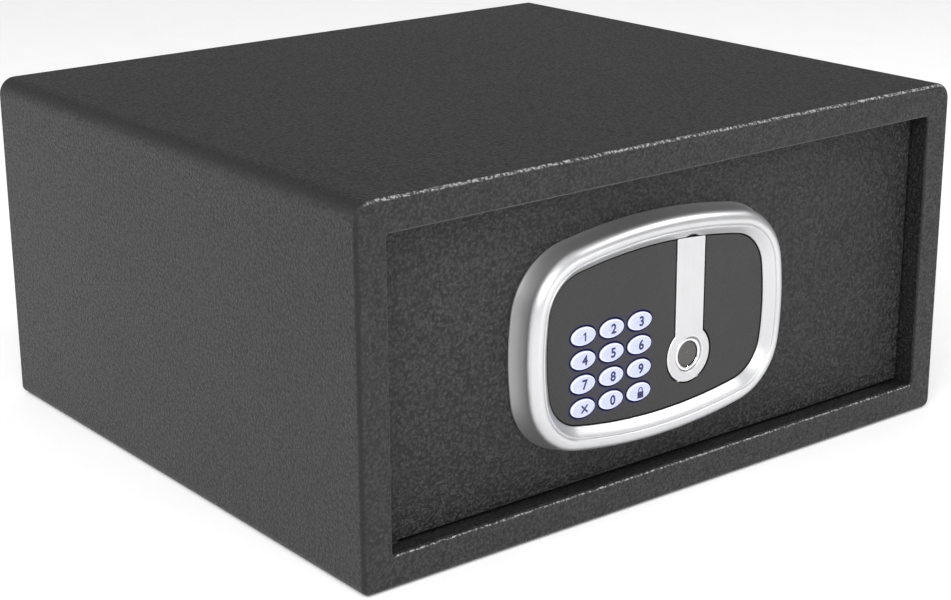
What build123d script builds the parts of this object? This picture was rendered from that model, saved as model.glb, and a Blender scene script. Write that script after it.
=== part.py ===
from build123d import *
import math
import os

# In-room hotel safe: a folded steel body, and a recessed door with a keypad unit and motor-driven bolts.
# Units are millimetres. +X is to the right and -Y to the front of someone facing the door, +Z is up.
# The origin is the centre of the body's underside: the front face is at y = FRONT, the back at y = REAR.

# ---- Body ----
WIDTH, DEPTH, HEIGHT = 420.0, 370.0, 200.0
SHEET = 2.0  # steel sheet of the body
TOP_RADIUS = 10.0  # bend along the two upper long edges
BOTTOM_RADIUS = 5.0  # bend along the two lower long edges
FRONT_BEND = 2.6  # bend between the sides and the front face
FRONT, REAR = -DEPTH / 2, DEPTH / 2
ANCHOR_HOLE = 6.0  # radius of every anchor hole
REAR_ANCHOR_SPACING = 240.0
FLOOR_ANCHOR_SPACING = (300.0, 220.0)
MAT = 3.0  # thickness of the felt mat

# ---- Door opening ----
FLANGE = 18.0  # width of the front face around the opening
OPENING_W, OPENING_H = WIDTH - 2 * FLANGE, HEIGHT - 2 * FLANGE
MID_Z = HEIGHT / 2
JAMB_DEPTH = 20.0  # how far the door frame runs back from the front face
JAMB = 2.0  # its sheet
STOP_W, STOP_H, STOP_T = 30.0, 7.0, 3.4
STOP_SPACING, STOP_GAP = 250.0, 0.4

# ---- Door ----
RECESS = 11.0  # the door's face lies this far behind the front face
DOOR_SHEET = 5.0
DOOR_GAP = 1.5  # above, below and on the lock side
HINGE_GAP = 2.0
DOOR_FACE = FRONT + RECESS
DOOR_BACK = DOOR_FACE + DOOR_SHEET
DOOR_LEFT = -OPENING_W / 2 + HINGE_GAP
DOOR_RIGHT = OPENING_W / 2 - DOOR_GAP
DOOR_LOW = MID_Z - OPENING_H / 2 + DOOR_GAP
DOOR_HIGH = MID_Z + OPENING_H / 2 - DOOR_GAP
PIN_RADIUS = 3.0
PIN_X = DOOR_LEFT + 6.0
PIN_Y = DOOR_BACK  # the pins stand on the plane of the door plate's back
LUG_W, LUG_T, LUG_H = 24.0, 9.0, 20.0
LUG_SKIN = 1.0  # the door's sheet in front of each lug
LUG_FACE = DOOR_FACE + LUG_SKIN
PIN_REACH = 14.0  # how far each pin goes into its lug
RUNNING = 0.05  # radial clearance of a running fit

# ---- Keypad unit ----
UNIT_X, UNIT_Z = -16.0, 98.3  # centre of the unit
PANEL_W, PANEL_H = 77.75, 47.0  # half width and height of the rim round the face panel
BEZEL = 16.0  # from that rim to the bezel's foot
BEZEL_DRAFT = 2.6  # how much the outer wall leans in
BEZEL_WALL = 2.5
SHOULDER = FRONT + 1.5  # top of the outer wall
CROWN = FRONT - 4.4  # the bezel's highest line
CROWN_ROUND = 5.2
PANEL_FACE, PANEL_T = FRONT + 1.0, 2.4
PANEL_BACK = PANEL_FACE + PANEL_T
PANEL_GAP = 0.3
LIP_WIDTH, LIP_DROP = 5.0, 5.0  # the slope from the crown down to the panel
LEDGE = 2.0  # how far the panel's ledge reaches in from the rim
LEDGE_BACK = PANEL_BACK + 1.5
GROOVE = 5.4  # where a fine groove parts the lip from the rim
PCB_FACE, PCB_T = FRONT + 7.2, 1.2
BASE_FACE = FRONT + 9.0
KEY_PITCH_X, KEY_PITCH_Z = 19.6, 13.15
KEY_W, KEY_H = 8.1, 4.8  # half width and height of a key
KEY_X, KEY_Z = -69.2, 105.2  # centre of the first key
KEY_PROUD, KEY_TRAVEL = 1.2, 0.9
KEY_FLANGE, KEY_FLANGE_T = 0.6, 0.7
KEY_NAMES = ("1", "2", "3", "4", "5", "6", "7", "8", "9", "clear", "0", "lock")
DISPLAY_X, DISPLAY_Z = UNIT_X - 32, UNIT_Z + 27
UNIT_SCREWS = [(UNIT_X + sx * 45, UNIT_Z + sz * 50.2) for sx in (-1, 1) for sz in (-1, 1)]

# ---- Override lock cover ----
COVER_X = 6.4
COVER_W = 20.0
DISC_Z, DISC_R = 78.6, 15.5
COVER_FACE = PANEL_FACE - 0.2
COVER_T = 1.8
COVER_BACK = COVER_FACE + COVER_T
POCKET_FLOOR = COVER_BACK + 0.1
COVER_GAP = 0.5  # the dark line round the cover
COVER_AXIS_Y = COVER_FACE + COVER_T / 2
COVER_AXIS_Z = DISC_Z - DISC_R + 1.2
COVER_PIN_R = 0.5
PORT_R, LENS_R = 9.6, 7.0
RIBBON_X, RIBBON_Z, RIBBON_W, RIBBON_T = -60.0, 128.0, 16.0, 0.8
SCREW_HOLE, SCREW_R = 2.2, 1.7

# ---- Override lock ----
LOCK_Z = 122.0
LOCK_R = 9.0
PLUG_R = 6.5
LOCK_FACE = COVER_BACK + 0.35
LOCK_END = FRONT + 30.0
CAM_LENGTH = 26.0

# ---- Bolt work ----
BOLT_R = 10.0
BOLT_Y = FRONT + 32.0
BOLT_Z = (60.0, 140.0)
BOLT_END = 187.5
BOLT_THROW = 15.0
CARRIAGE_X, CARRIAGE_T = 120.0, 4.0
CHASSIS_LEFT, CHASSIS_RIGHT = 62.0, 178.0
CHASSIS_T = 2.0
CHASSIS_FACE = DOOR_BACK + CHASSIS_T
MODULE, TEETH = 1.0, 14
PITCH_R = MODULE * TEETH / 2
PINION_X, PINION_Z = 84.0, 89.0
RACK_LINE = PINION_Z + PITCH_R
RACK_Y, RACK_T = FRONT + 21.0, 5.0
RACK_TOP = 106.0
RACK_LEFT = -32.0
GUIDE_X = 24.0
BACKLASH = 0.3
SHAFT_R = 1.5

# ---- Inner cover and what it holds ----
COVER_LEFT, COVER_RIGHT = -160.0, 186.0
COVER_LOW, COVER_HIGH = 28.0, 172.0
COVER_REAR = FRONT + 56.0
COVER_WALL = 2.0
BATTERY_X, BATTERY_Z = -116.0, 104.0  # centre of the battery bay
AA_R, AA_L = 7.1, 49.2
CELL_PITCH = 14.5
BOX_W, BOX_H = AA_L + 8.8, 4 * CELL_PITCH + 1.0
HATCH_W, HATCH_H = 72.0, 66.0
HATCH_AXIS_Z = BATTERY_Z - HATCH_H / 2 - 2.0
HATCH_AXIS_Y = COVER_REAR + 2.2
RESET_X, RESET_Z = -110.0, 50.0
RESET_R, RESET_BOSS, RESET_TRAVEL = 3.2, 9.0, 1.5
BOARD_Y, BOARD_T = FRONT + 23.0, 1.6
BOARD_ITEMS = {  # x, z, width, height and thickness of what is soldered to the control board
    "processor": (-118.0, 128.0, 14.0, 14.0, 1.6),
    "driver": (-94.0, 128.0, 10.0, 6.0, 2.0),
    "buzzer": (-134.0, 62.0, 12.0, 12.0, 7.0),
    "reset_switch": (RESET_X, RESET_Z, 6.0, 6.0, 6.0),
    "motor_socket": (-86.0, 62.0, 14.0, 8.0, 6.0),
    "battery_socket": (-76.0, 98.0, 8.0, 14.0, 6.0),
    "ribbon_socket": (-76.0, 128.0, 6.0, 20.0, 4.0),
}
BOARD_SCREWS = [(x, z) for x in (-146.0, -74.0) for z in (50.0, 150.0)]
LEAD_R = 0.8
COVER_SCREWS = [(x, z) for x in (COVER_LEFT + 9, 56.0) for z in (COVER_LOW + 8, COVER_HIGH - 8)]

def front_view(y):
    """A plane facing the front: its x is +X, its y is +Z, and a negative extrusion runs to the back."""
    return Plane(origin=(0, y, 0), x_dir=(1, 0, 0), z_dir=(0, -1, 0))


def side_view(x):
    """A plane facing right: its x is +Y and its y is +Z."""
    return Plane(origin=(x, 0, 0), x_dir=(0, 1, 0), z_dir=(1, 0, 0))


def keep(name, builder):
    """Labels a finished piece and writes it as parts/NAME.step."""
    builder.part.label = name
    export_step(builder.part, f"parts/{name}.step")


def body_outline(inset):
    """The body's outline seen from the front, centred on the opening, with each side moved in by inset."""
    with BuildSketch(mode=Mode.PRIVATE) as outline:
        Rectangle(WIDTH - 2 * inset, HEIGHT - 2 * inset)
        fillet(outline.vertices().group_by(Axis.Y)[-1], TOP_RADIUS - inset)
        fillet(outline.vertices().group_by(Axis.Y)[0], BOTTOM_RADIUS - inset)
    return outline.sketch


def cushion(grow):
    """The keypad unit's outline: four shallow arcs with round corners, moved out from the rim by grow."""
    half_w, half_h = PANEL_W + grow, PANEL_H + grow
    top_radius, side_radius, corner_radius = 310 + grow, 150 + grow, 24 + grow
    corner_x = half_w - 4.9 - grow * 0.12
    corner_z = half_h - top_radius + math.sqrt(top_radius**2 - corner_x**2)
    side_x = half_w - side_radius + math.sqrt(side_radius**2 - corner_z**2)
    corner_x = (corner_x + side_x) / 2
    with BuildSketch(mode=Mode.PRIVATE) as outline:
        with BuildLine():
            ThreePointArc((-corner_x, corner_z), (0, half_h), (corner_x, corner_z))
            ThreePointArc((corner_x, corner_z), (half_w, 0), (corner_x, -corner_z))
            ThreePointArc((corner_x, -corner_z), (0, -half_h), (-corner_x, -corner_z))
            ThreePointArc((-corner_x, -corner_z), (-half_w, 0), (-corner_x, corner_z))
        make_face()
        fillet(outline.vertices(), corner_radius)
    return outline.sketch


def cushion_ring(outer, inner, y):
    """The ring between two of the unit's outlines, as a sketch at that depth that faces the front."""
    with BuildSketch(front_view(y), mode=Mode.PRIVATE) as ring:
        with Locations((UNIT_X, UNIT_Z)):
            add(cushion(outer))
            add(cushion(inner), mode=Mode.SUBTRACT)
    return ring.sketch


def lollipop(grow):
    """The override cover's outline, centred on its disc: a strip up from a round end, moved out by grow."""
    length = UNIT_Z + PANEL_H + 10 - DISC_Z
    with BuildSketch(mode=Mode.PRIVATE) as outline:
        Circle(DISC_R + grow)
        with Locations((0, length / 2)):
            Rectangle(COVER_W + 2 * grow, length)
    return outline.sketch


def key_places():
    """Name and centre of each key, row by row from the top left."""
    for i, name in enumerate(KEY_NAMES):
        yield name, KEY_X + i % 3 * KEY_PITCH_X, KEY_Z - i // 3 * KEY_PITCH_Z


# ================= Body =================


def make_body_shell():
    with BuildPart() as shell:
        with BuildSketch(front_view(FRONT)):
            with Locations((0, MID_Z)):
                add(body_outline(0))
        extrude(amount=-DEPTH)
        fillet(shell.faces().sort_by(Axis.Y)[0].edges(), FRONT_BEND)
        with BuildSketch(front_view(FRONT + SHEET)):
            with Locations((0, MID_Z)):
                add(body_outline(SHEET))
        extrude(amount=-DEPTH, mode=Mode.SUBTRACT)
        with BuildSketch(front_view(FRONT)):
            with Locations((0, MID_Z)):
                RectangleRounded(OPENING_W, OPENING_H, 2)
        extrude(amount=-SHEET, mode=Mode.SUBTRACT)
        rim = shell.faces().sort_by(Axis.Y)[0].inner_wires()[0].edges()
        fillet(rim, 1.4)
        with BuildSketch(Plane.XY):
            with GridLocations(*FLOOR_ANCHOR_SPACING, 2, 2):
                Circle(ANCHOR_HOLE)
        extrude(amount=SHEET, mode=Mode.SUBTRACT)
    keep("body_shell", shell)


def make_rear_panel():
    with BuildPart() as panel:
        with BuildSketch(front_view(REAR - SHEET)):
            with Locations((0, MID_Z)):
                add(body_outline(SHEET))
                with GridLocations(REAR_ANCHOR_SPACING, 0, 2, 1):
                    Circle(ANCHOR_HOLE, mode=Mode.SUBTRACT)
        extrude(amount=-SHEET)
    keep("rear_panel", panel)


def make_door_frame():
    with BuildPart() as frame:
        with BuildSketch(front_view(FRONT + SHEET)):
            with Locations((0, MID_Z)):
                RectangleRounded(OPENING_W + 2 * JAMB, OPENING_H + 2 * JAMB, 2 + JAMB)
                RectangleRounded(OPENING_W, OPENING_H, 2, mode=Mode.SUBTRACT)
        extrude(amount=-(JAMB_DEPTH - SHEET))
        with Locations((PIN_X, PIN_Y, 0)):
            pin_way = PIN_RADIUS + RUNNING
            Cylinder(pin_way, HEIGHT, align=(Align.CENTER, Align.CENTER, Align.MIN), mode=Mode.SUBTRACT)
        # Four tabs bent up from the frame stop the door.
        with BuildSketch(front_view(DOOR_BACK + STOP_GAP)):
            with Locations((0, MID_Z)):
                with GridLocations(STOP_SPACING, OPENING_H - STOP_H, 2, 2):
                    Rectangle(STOP_W, STOP_H)
        extrude(amount=-STOP_T)
    keep("door_frame", frame)


def make_hinge_hardware():
    bracket_t = 5.0
    low_frame = MID_Z - OPENING_H / 2
    with BuildPart() as brackets:
        for base in (low_frame - JAMB - bracket_t, HEIGHT - low_frame + JAMB):
            with BuildSketch(Plane.XY.offset(base)):
                with Locations((PIN_X, (FRONT + SHEET + FRONT + JAMB_DEPTH + 3) / 2)):
                    Rectangle(26, JAMB_DEPTH + 3 - SHEET)
                with Locations((PIN_X, PIN_Y)):
                    Circle(PIN_RADIUS, mode=Mode.SUBTRACT)
            extrude(amount=bracket_t)
    keep("hinge_brackets", brackets)

    with BuildPart() as pins:
        head_h, head_r = 2.0, 4.5
        pin_low = low_frame - JAMB - bracket_t
        pin_length = DOOR_LOW + PIN_REACH - pin_low
        with Locations((PIN_X, PIN_Y, pin_low)):
            Cylinder(PIN_RADIUS, pin_length, align=(Align.CENTER, Align.CENTER, Align.MIN))
            Cylinder(head_r, head_h, align=(Align.CENTER, Align.CENTER, Align.MAX))
        chamfer(pins.faces().sort_by(Axis.Z)[-1].edges(), 0.8)
        mirror(about=Plane.XY.offset(MID_Z))
    keep("hinge_pins", pins)

    with BuildPart() as washers:
        with BuildSketch(Plane.XY.offset(low_frame + 0.1)):
            with Locations((PIN_X, PIN_Y)):
                Circle(5.4)
                Circle(PIN_RADIUS + 0.1, mode=Mode.SUBTRACT)
        extrude(amount=DOOR_GAP - 0.2)
        mirror(about=Plane.XY.offset(MID_Z))
    keep("hinge_washers", washers)


def make_strike_plate():
    with BuildPart() as plate:
        with BuildSketch(side_view(OPENING_W / 2 + JAMB)):
            with Locations((FRONT + SHEET + 23, MID_Z)):
                Rectangle(46, 140)
            with Locations(*[(BOLT_Y, z) for z in BOLT_Z]):
                Circle(BOLT_R + 0.9, mode=Mode.SUBTRACT)
        extrude(amount=3)
    keep("strike_plate", plate)


def make_floor_mat():
    mat_front = FRONT + JAMB_DEPTH + 5
    with BuildPart() as mat:
        with BuildSketch(Plane.XY.offset(SHEET)):
            with Locations((0, (mat_front + REAR - SHEET) / 2)):
                RectangleRounded(WIDTH - 2 * BOTTOM_RADIUS - 2, REAR - SHEET - mat_front - 2, 3)
            with GridLocations(*FLOOR_ANCHOR_SPACING, 2, 2):
                Circle(ANCHOR_HOLE + 5, mode=Mode.SUBTRACT)
        extrude(amount=MAT)
    keep("floor_mat", mat)


# ================= Door =================


def make_door():
    door_w, door_h = DOOR_RIGHT - DOOR_LEFT, DOOR_HIGH - DOOR_LOW
    with BuildPart() as plate:
        with BuildSketch(front_view(DOOR_FACE)):
            with Locations(((DOOR_LEFT + DOOR_RIGHT) / 2, MID_Z)):
                Rectangle(door_w, door_h)
        extrude(amount=-DOOR_SHEET)
        fillet(plate.edges().filter_by(Axis.Z).group_by(Axis.X)[0].sort_by(Axis.Y)[0], 2.0)
        fillet(plate.faces().sort_by(Axis.Y)[0].edges().sort_by(Axis.X)[1:], 0.8)
        with BuildSketch(front_view(LUG_FACE)):
            with Locations((DOOR_LEFT + LUG_W / 2, MID_Z)):
                with GridLocations(0, door_h - LUG_H, 1, 2):
                    Rectangle(LUG_W, LUG_H)
        extrude(amount=-DOOR_SHEET, mode=Mode.SUBTRACT)
        with BuildSketch(front_view(DOOR_FACE)):
            with Locations((COVER_X, LOCK_Z)):
                Circle(LOCK_R + 0.2)
            with Locations((RIBBON_X, RIBBON_Z)):
                SlotOverall(RIBBON_W + 10, 12, rotation=90)
            with Locations(*UNIT_SCREWS):
                Circle(SCREW_HOLE)
        extrude(amount=-DOOR_SHEET, mode=Mode.SUBTRACT)
    keep("door_plate", plate)

    with BuildPart() as lugs:
        with BuildSketch(Plane.XY.offset(DOOR_LOW)):
            with Locations((DOOR_LEFT + LUG_W / 2, LUG_FACE + LUG_T / 2)):
                Rectangle(LUG_W, LUG_T)
            with Locations((PIN_X, PIN_Y)):
                Circle(PIN_RADIUS + RUNNING, mode=Mode.SUBTRACT)
        extrude(amount=LUG_H)
        fillet(lugs.edges().filter_by(Axis.Z).group_by(Axis.X)[0], 1.5)
        mirror(about=Plane.XY.offset(MID_Z))
    keep("hinge_lugs", lugs)


# ================= Keypad unit =================


def make_bezel():
    """The silver ring: a domed hollow rim, a fine groove, a lip, and a ledge that the panel rests on."""
    channel_top = FRONT - 0.5
    inner_outline = cushion(BEZEL - BEZEL_WALL - BEZEL_DRAFT)
    outer_outlines = ((SHOULDER, cushion(BEZEL - BEZEL_DRAFT)), (DOOR_FACE, cushion(BEZEL)))
    with BuildPart() as bezel:
        for y, outline in outer_outlines:
            with BuildSketch(front_view(y)):
                with Locations((UNIT_X, UNIT_Z)):
                    add(outline)
        loft(ruled=True)
        extrude(cushion_ring(BEZEL - BEZEL_DRAFT, 0, CROWN), amount=CROWN - SHOULDER)
        extrude(cushion_ring(0, -PANEL_H / 2, CROWN), amount=CROWN - SHOULDER)
        crown = bezel.faces().sort_by(Axis.Y)[0]
        fillet(crown.outer_wire().edges(), CROWN_ROUND)
        with BuildSketch(front_view(CROWN)):
            with Locations((UNIT_X, UNIT_Z)):
                add(cushion(0))
        extrude(amount=CROWN - DOOR_FACE, mode=Mode.SUBTRACT)
        crown = bezel.faces().sort_by(Axis.Y)[0]
        chamfer(crown.inner_wires()[0].edges(), length=LIP_DROP, length2=LIP_WIDTH)
        crown = bezel.faces().sort_by(Axis.Y)[0]
        fillet(crown.inner_wires()[0].edges(), 0.8)
        extrude(cushion_ring(GROOVE + 0.5, GROOVE, CROWN), amount=-1.2, mode=Mode.SUBTRACT)
        channel = cushion_ring(BEZEL - BEZEL_WALL - BEZEL_DRAFT - 2.5, 2.2, channel_top)
        extrude(channel, amount=channel_top - LEDGE_BACK, mode=Mode.SUBTRACT)
        with BuildSketch(front_view(LEDGE_BACK)):
            with Locations((UNIT_X, UNIT_Z)):
                add(inner_outline)
        extrude(amount=LEDGE_BACK - DOOR_FACE, mode=Mode.SUBTRACT)
        extrude(cushion_ring(1.0, -LEDGE, PANEL_BACK), amount=PANEL_BACK - LEDGE_BACK)
        for x, z in UNIT_SCREWS:
            with BuildSketch(front_view(channel_top)):
                with Locations((x, z)):
                    Circle(3.6)
                    Circle(SCREW_R, mode=Mode.SUBTRACT)
            extrude(amount=channel_top - BASE_FACE)
        notch_z = UNIT_Z + PANEL_H - 0.9
        with BuildSketch(front_view(PANEL_FACE - 4.2)):
            with BuildLine():
                Polyline(
                    (COVER_X - 4.2, notch_z - 1.2),
                    (COVER_X - 1.0, notch_z + 2.8),
                    (COVER_X + 3.8, notch_z - 0.4),
                    (COVER_X + 3.8, notch_z - 1.4),
                    close=True,
                )
            make_face()
        extrude(amount=-4.6, mode=Mode.SUBTRACT)
    keep("unit_bezel", bezel)


def make_face_panel():
    with BuildPart() as panel:
        with BuildSketch(front_view(PANEL_FACE)):
            with Locations((UNIT_X, UNIT_Z)):
                add(cushion(-PANEL_GAP))
            for _, x, z in key_places():
                with Locations((x, z)):
                    Ellipse(KEY_W + 0.35, KEY_H + 0.35, mode=Mode.SUBTRACT)
        extrude(amount=-PANEL_T)
        with BuildSketch(front_view(PANEL_FACE)):
            with Locations((COVER_X, DISC_Z)):
                add(lollipop(COVER_GAP))
        extrude(amount=-(POCKET_FLOOR - PANEL_FACE), mode=Mode.SUBTRACT)
        with BuildSketch(front_view(PANEL_FACE)):
            with Locations((COVER_X, LOCK_Z)):
                Circle(LOCK_R + 0.6)
            with Locations((COVER_X, DISC_Z)):
                Circle(PORT_R - 1.4)
        extrude(amount=-PANEL_T, mode=Mode.SUBTRACT)
        # The cover's foot swings through a slot that follows its round end.
        with BuildSketch(front_view(PANEL_FACE)):
            with Locations((COVER_X, DISC_Z)):
                add(lollipop(COVER_GAP + 0.25))
            with Locations((COVER_X, COVER_AXIS_Z)):
                Rectangle(15, 4, mode=Mode.INTERSECT)
        extrude(amount=-PANEL_T, mode=Mode.SUBTRACT)
        with BuildSketch(side_view(COVER_X - 8.5)):
            with Locations((COVER_AXIS_Y, COVER_AXIS_Z)):
                Circle(COVER_PIN_R + RUNNING)
        extrude(amount=17, mode=Mode.SUBTRACT)
        # The display shows through a thinner stretch of the panel.
        with BuildSketch(front_view(PANEL_BACK)):
            with Locations((DISPLAY_X, DISPLAY_Z)):
                Rectangle(52, 16)
        extrude(amount=1.4, mode=Mode.SUBTRACT)
    keep("face_panel", panel)


def make_override_cover():
    with BuildPart() as cover:
        with BuildSketch(front_view(COVER_FACE)):
            with Locations((COVER_X, DISC_Z)):
                add(lollipop(0))
            with Locations((UNIT_X, UNIT_Z)):
                add(cushion(-PANEL_GAP - 0.1), mode=Mode.INTERSECT)
            with Locations((COVER_X, DISC_Z)):
                Circle(PORT_R + 0.3, mode=Mode.SUBTRACT)
        extrude(amount=-COVER_T)
        rounded = [
            edge
            for edge in cover.edges().filter_by(GeomType.CIRCLE)
            if abs(edge.radius - DISC_R) < 0.01 and edge.center().Z < DISC_Z + DISC_R
        ]
        fillet(rounded, 0.6)
        with BuildSketch(side_view(COVER_X - 8.2)):
            with Locations((COVER_AXIS_Y, COVER_AXIS_Z)):
                Circle(COVER_PIN_R)
        extrude(amount=16.4, mode=Mode.SUBTRACT)
    keep("override_cover", cover)

    with BuildPart() as pin:
        with BuildSketch(side_view(COVER_X - 8.2)):
            with Locations((COVER_AXIS_Y, COVER_AXIS_Z)):
                Circle(COVER_PIN_R)
        extrude(amount=16.4)
    keep("cover_pin", pin)

    with BuildPart() as ring:
        with BuildSketch(front_view(COVER_FACE + 0.3)):
            with Locations((COVER_X, DISC_Z)):
                Circle(PORT_R)
                Circle(LENS_R, mode=Mode.SUBTRACT)
        extrude(amount=-(POCKET_FLOOR - COVER_FACE - 0.3))
        inner = ring.faces().sort_by(Axis.Y)[0].inner_wires()[0].edges()
        chamfer(inner, length=1.0, length2=2.0)
    keep("port_ring", ring)

    with BuildPart() as lens:
        with BuildSketch(front_view(COVER_FACE + 1.25)):
            with Locations((COVER_X, DISC_Z)):
                Circle(LENS_R)
        extrude(amount=-(PANEL_BACK - COVER_FACE))
        fillet(lens.faces().sort_by(Axis.Y)[0].edges(), 0.2)
    keep("port_lens", lens)


def make_keys():
    flange_face = PANEL_BACK + 0.3
    stem_end = PCB_FACE - KEY_TRAVEL - 0.1
    for name, x, z in key_places():
        with BuildPart() as key:
            with BuildSketch(front_view(PANEL_FACE - KEY_PROUD)):
                with Locations((x, z)):
                    Ellipse(KEY_W, KEY_H)
            extrude(amount=PANEL_FACE - KEY_PROUD - stem_end)
            fillet(key.faces().sort_by(Axis.Y)[0].edges(), 0.7)
            with BuildSketch(front_view(flange_face)):
                with Locations((x, z)):
                    Ellipse(KEY_W + KEY_FLANGE, KEY_H + KEY_FLANGE)
            extrude(amount=-KEY_FLANGE_T)
        keep(f"key_{name}", key)

    with BuildPart() as mat:
        with BuildSketch(front_view(flange_face + KEY_FLANGE_T + KEY_TRAVEL + 0.15)):
            with Locations((KEY_X + KEY_PITCH_X, KEY_Z - 1.5 * KEY_PITCH_Z)):
                RectangleRounded(3 * KEY_PITCH_X + 3, 4 * KEY_PITCH_Z + 3, 4)
            for _, x, z in key_places():
                with Locations((x, z)):
                    Ellipse(KEY_W + 0.25, KEY_H + 0.25, mode=Mode.SUBTRACT)
        extrude(amount=-0.6)
    keep("keypad_mat", mat)


def make_unit_internals():
    with BuildPart() as base:
        with BuildSketch(front_view(BASE_FACE)):
            with Locations((UNIT_X, UNIT_Z)):
                add(cushion(BEZEL - BEZEL_WALL - BEZEL_DRAFT - 0.4))
            with Locations(*UNIT_SCREWS):
                Circle(SCREW_HOLE, mode=Mode.SUBTRACT)
            with Locations((COVER_X, LOCK_Z)):
                Circle(LOCK_R + 0.3, mode=Mode.SUBTRACT)
            with Locations((RIBBON_X, RIBBON_Z)):
                SlotOverall(RIBBON_W + 8, 10, rotation=90, mode=Mode.SUBTRACT)
        extrude(amount=-(DOOR_FACE - BASE_FACE))
        with BuildSketch(front_view(PCB_FACE + PCB_T)):
            with Locations((UNIT_X, UNIT_Z)):
                with GridLocations(130, 70, 2, 2):
                    Circle(3)
        extrude(amount=-(BASE_FACE - PCB_FACE - PCB_T))
    keep("unit_base", base)

    with BuildPart() as board:
        with BuildSketch(front_view(PCB_FACE)):
            with Locations((UNIT_X, UNIT_Z)):
                add(cushion(-4))
            with Locations((COVER_X, LOCK_Z)):
                Circle(LOCK_R + 1.5, mode=Mode.SUBTRACT)
        extrude(amount=-PCB_T)
    keep("keypad_board", board)

    with BuildPart() as display:
        display_face = PANEL_BACK - 1.2
        with BuildSketch(front_view(display_face)):
            with Locations((DISPLAY_X, DISPLAY_Z)):
                Rectangle(50, 15)
        extrude(amount=display_face - PCB_FACE)
    keep("display_module", display)

    with BuildPart() as screws:
        with BuildSketch(front_view(DOOR_BACK + 3)):
            with Locations(*UNIT_SCREWS):
                Circle(4)
        extrude(amount=3)
        fillet(screws.faces().group_by(Axis.Y)[-1].edges(), 1.2)
        with BuildSketch(front_view(DOOR_BACK)):
            with Locations(*UNIT_SCREWS):
                Circle(SCREW_R)
        extrude(amount=DOOR_BACK - FRONT)
        with BuildSketch(front_view(DOOR_BACK + 3)):
            with Locations(*UNIT_SCREWS):
                Rectangle(4.4, 1.0)
                Rectangle(1.0, 4.4)
        extrude(amount=1.4, mode=Mode.SUBTRACT)
    keep("unit_screws", screws)


# ================= Override lock =================


def make_override_lock():
    centre = (COVER_X, LOCK_Z)
    with BuildPart() as cylinder:
        with BuildSketch(front_view(LOCK_FACE)):
            with Locations(centre):
                Circle(LOCK_R)
                Circle(PLUG_R + RUNNING, mode=Mode.SUBTRACT)
        extrude(amount=-(LOCK_END - LOCK_FACE))
        chamfer(cylinder.faces().sort_by(Axis.Y)[0].outer_wire().edges(), 0.5)
    keep("lock_cylinder", cylinder)

    with BuildPart() as nut:
        with BuildSketch(front_view(DOOR_BACK)):
            with Locations(centre):
                RegularPolygon(13.5, 6)
                Circle(LOCK_R, mode=Mode.SUBTRACT)
        extrude(amount=-4)
    keep("cylinder_nut", nut)

    with BuildPart() as plug:
        with BuildSketch(front_view(LOCK_FACE)):
            with Locations(centre):
                Circle(PLUG_R)
        extrude(amount=-(LOCK_END + 0.5 - LOCK_FACE))
        with BuildSketch(front_view(LOCK_FACE)):
            with Locations(centre):
                Rectangle(2.0, 8.4)
                with Locations((0.9, 1.2)):
                    Rectangle(1.6, 1.6)
        extrude(amount=-18, mode=Mode.SUBTRACT)
        with BuildSketch(front_view(LOCK_END + 0.5)):
            with Locations(centre):
                RectangleRounded(7, 7, 1)
        extrude(amount=-3.0)
        with BuildSketch(front_view(LOCK_END + 3.5)):
            with Locations(centre):
                Circle(5.5)
        extrude(amount=-2.0)
        fillet(plug.faces().sort_by(Axis.Y)[-1].edges(), 1.2)
    keep("lock_plug", plug)

    # The cam hangs straight down at rest and swings to the left as the key turns.
    # The plug's tail is riveted over it.
    with BuildPart() as cam:
        with BuildSketch(front_view(LOCK_END + 0.5)):
            with Locations((COVER_X, LOCK_Z - (CAM_LENGTH - 7) / 2)):
                SlotCenterToCenter(CAM_LENGTH - 7, 14, rotation=90)
            with Locations(centre):
                RectangleRounded(7, 7, 1, mode=Mode.SUBTRACT)
        extrude(amount=-3.0)
    keep("override_cam", cam)


# ================= Bolt work =================


def make_bolts():
    with BuildPart() as bolts:
        with BuildSketch(side_view(CARRIAGE_X + CARRIAGE_T)):
            with Locations(*[(BOLT_Y, z) for z in BOLT_Z]):
                Circle(BOLT_R)
        extrude(amount=BOLT_END - CARRIAGE_X - CARRIAGE_T)
        chamfer(bolts.faces().group_by(Axis.X)[-1].edges(), 1.5)
        with BuildSketch(side_view(CARRIAGE_X + CARRIAGE_T)):
            with Locations(*[(BOLT_Y, z) for z in BOLT_Z]):
                Circle(3)
        extrude(amount=15, mode=Mode.SUBTRACT)
    keep("live_bolts", bolts)

    with BuildPart() as carriage:
        with BuildSketch(side_view(CARRIAGE_X)):
            with Locations((BOLT_Y, MID_Z)):
                RectangleRounded(22, 108, 4)
            with Locations(*[(BOLT_Y, z) for z in BOLT_Z]):
                Circle(3 + RUNNING, mode=Mode.SUBTRACT)
        extrude(amount=CARRIAGE_T)
    keep("bolt_carriage", carriage)

    with BuildPart() as screws:
        with BuildSketch(side_view(CARRIAGE_X)):
            with Locations(*[(BOLT_Y, z) for z in BOLT_Z]):
                Circle(5)
        extrude(amount=-5)
        with BuildSketch(side_view(CARRIAGE_X)):
            with Locations(*[(BOLT_Y, z) for z in BOLT_Z]):
                Circle(3)
        extrude(amount=18)
        with BuildSketch(side_view(CARRIAGE_X - 5)):
            with Locations(*[(BOLT_Y, z) for z in BOLT_Z]):
                RegularPolygon(2.9, 6)
        extrude(amount=3, mode=Mode.SUBTRACT)
    keep("bolt_screws", screws)


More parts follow.
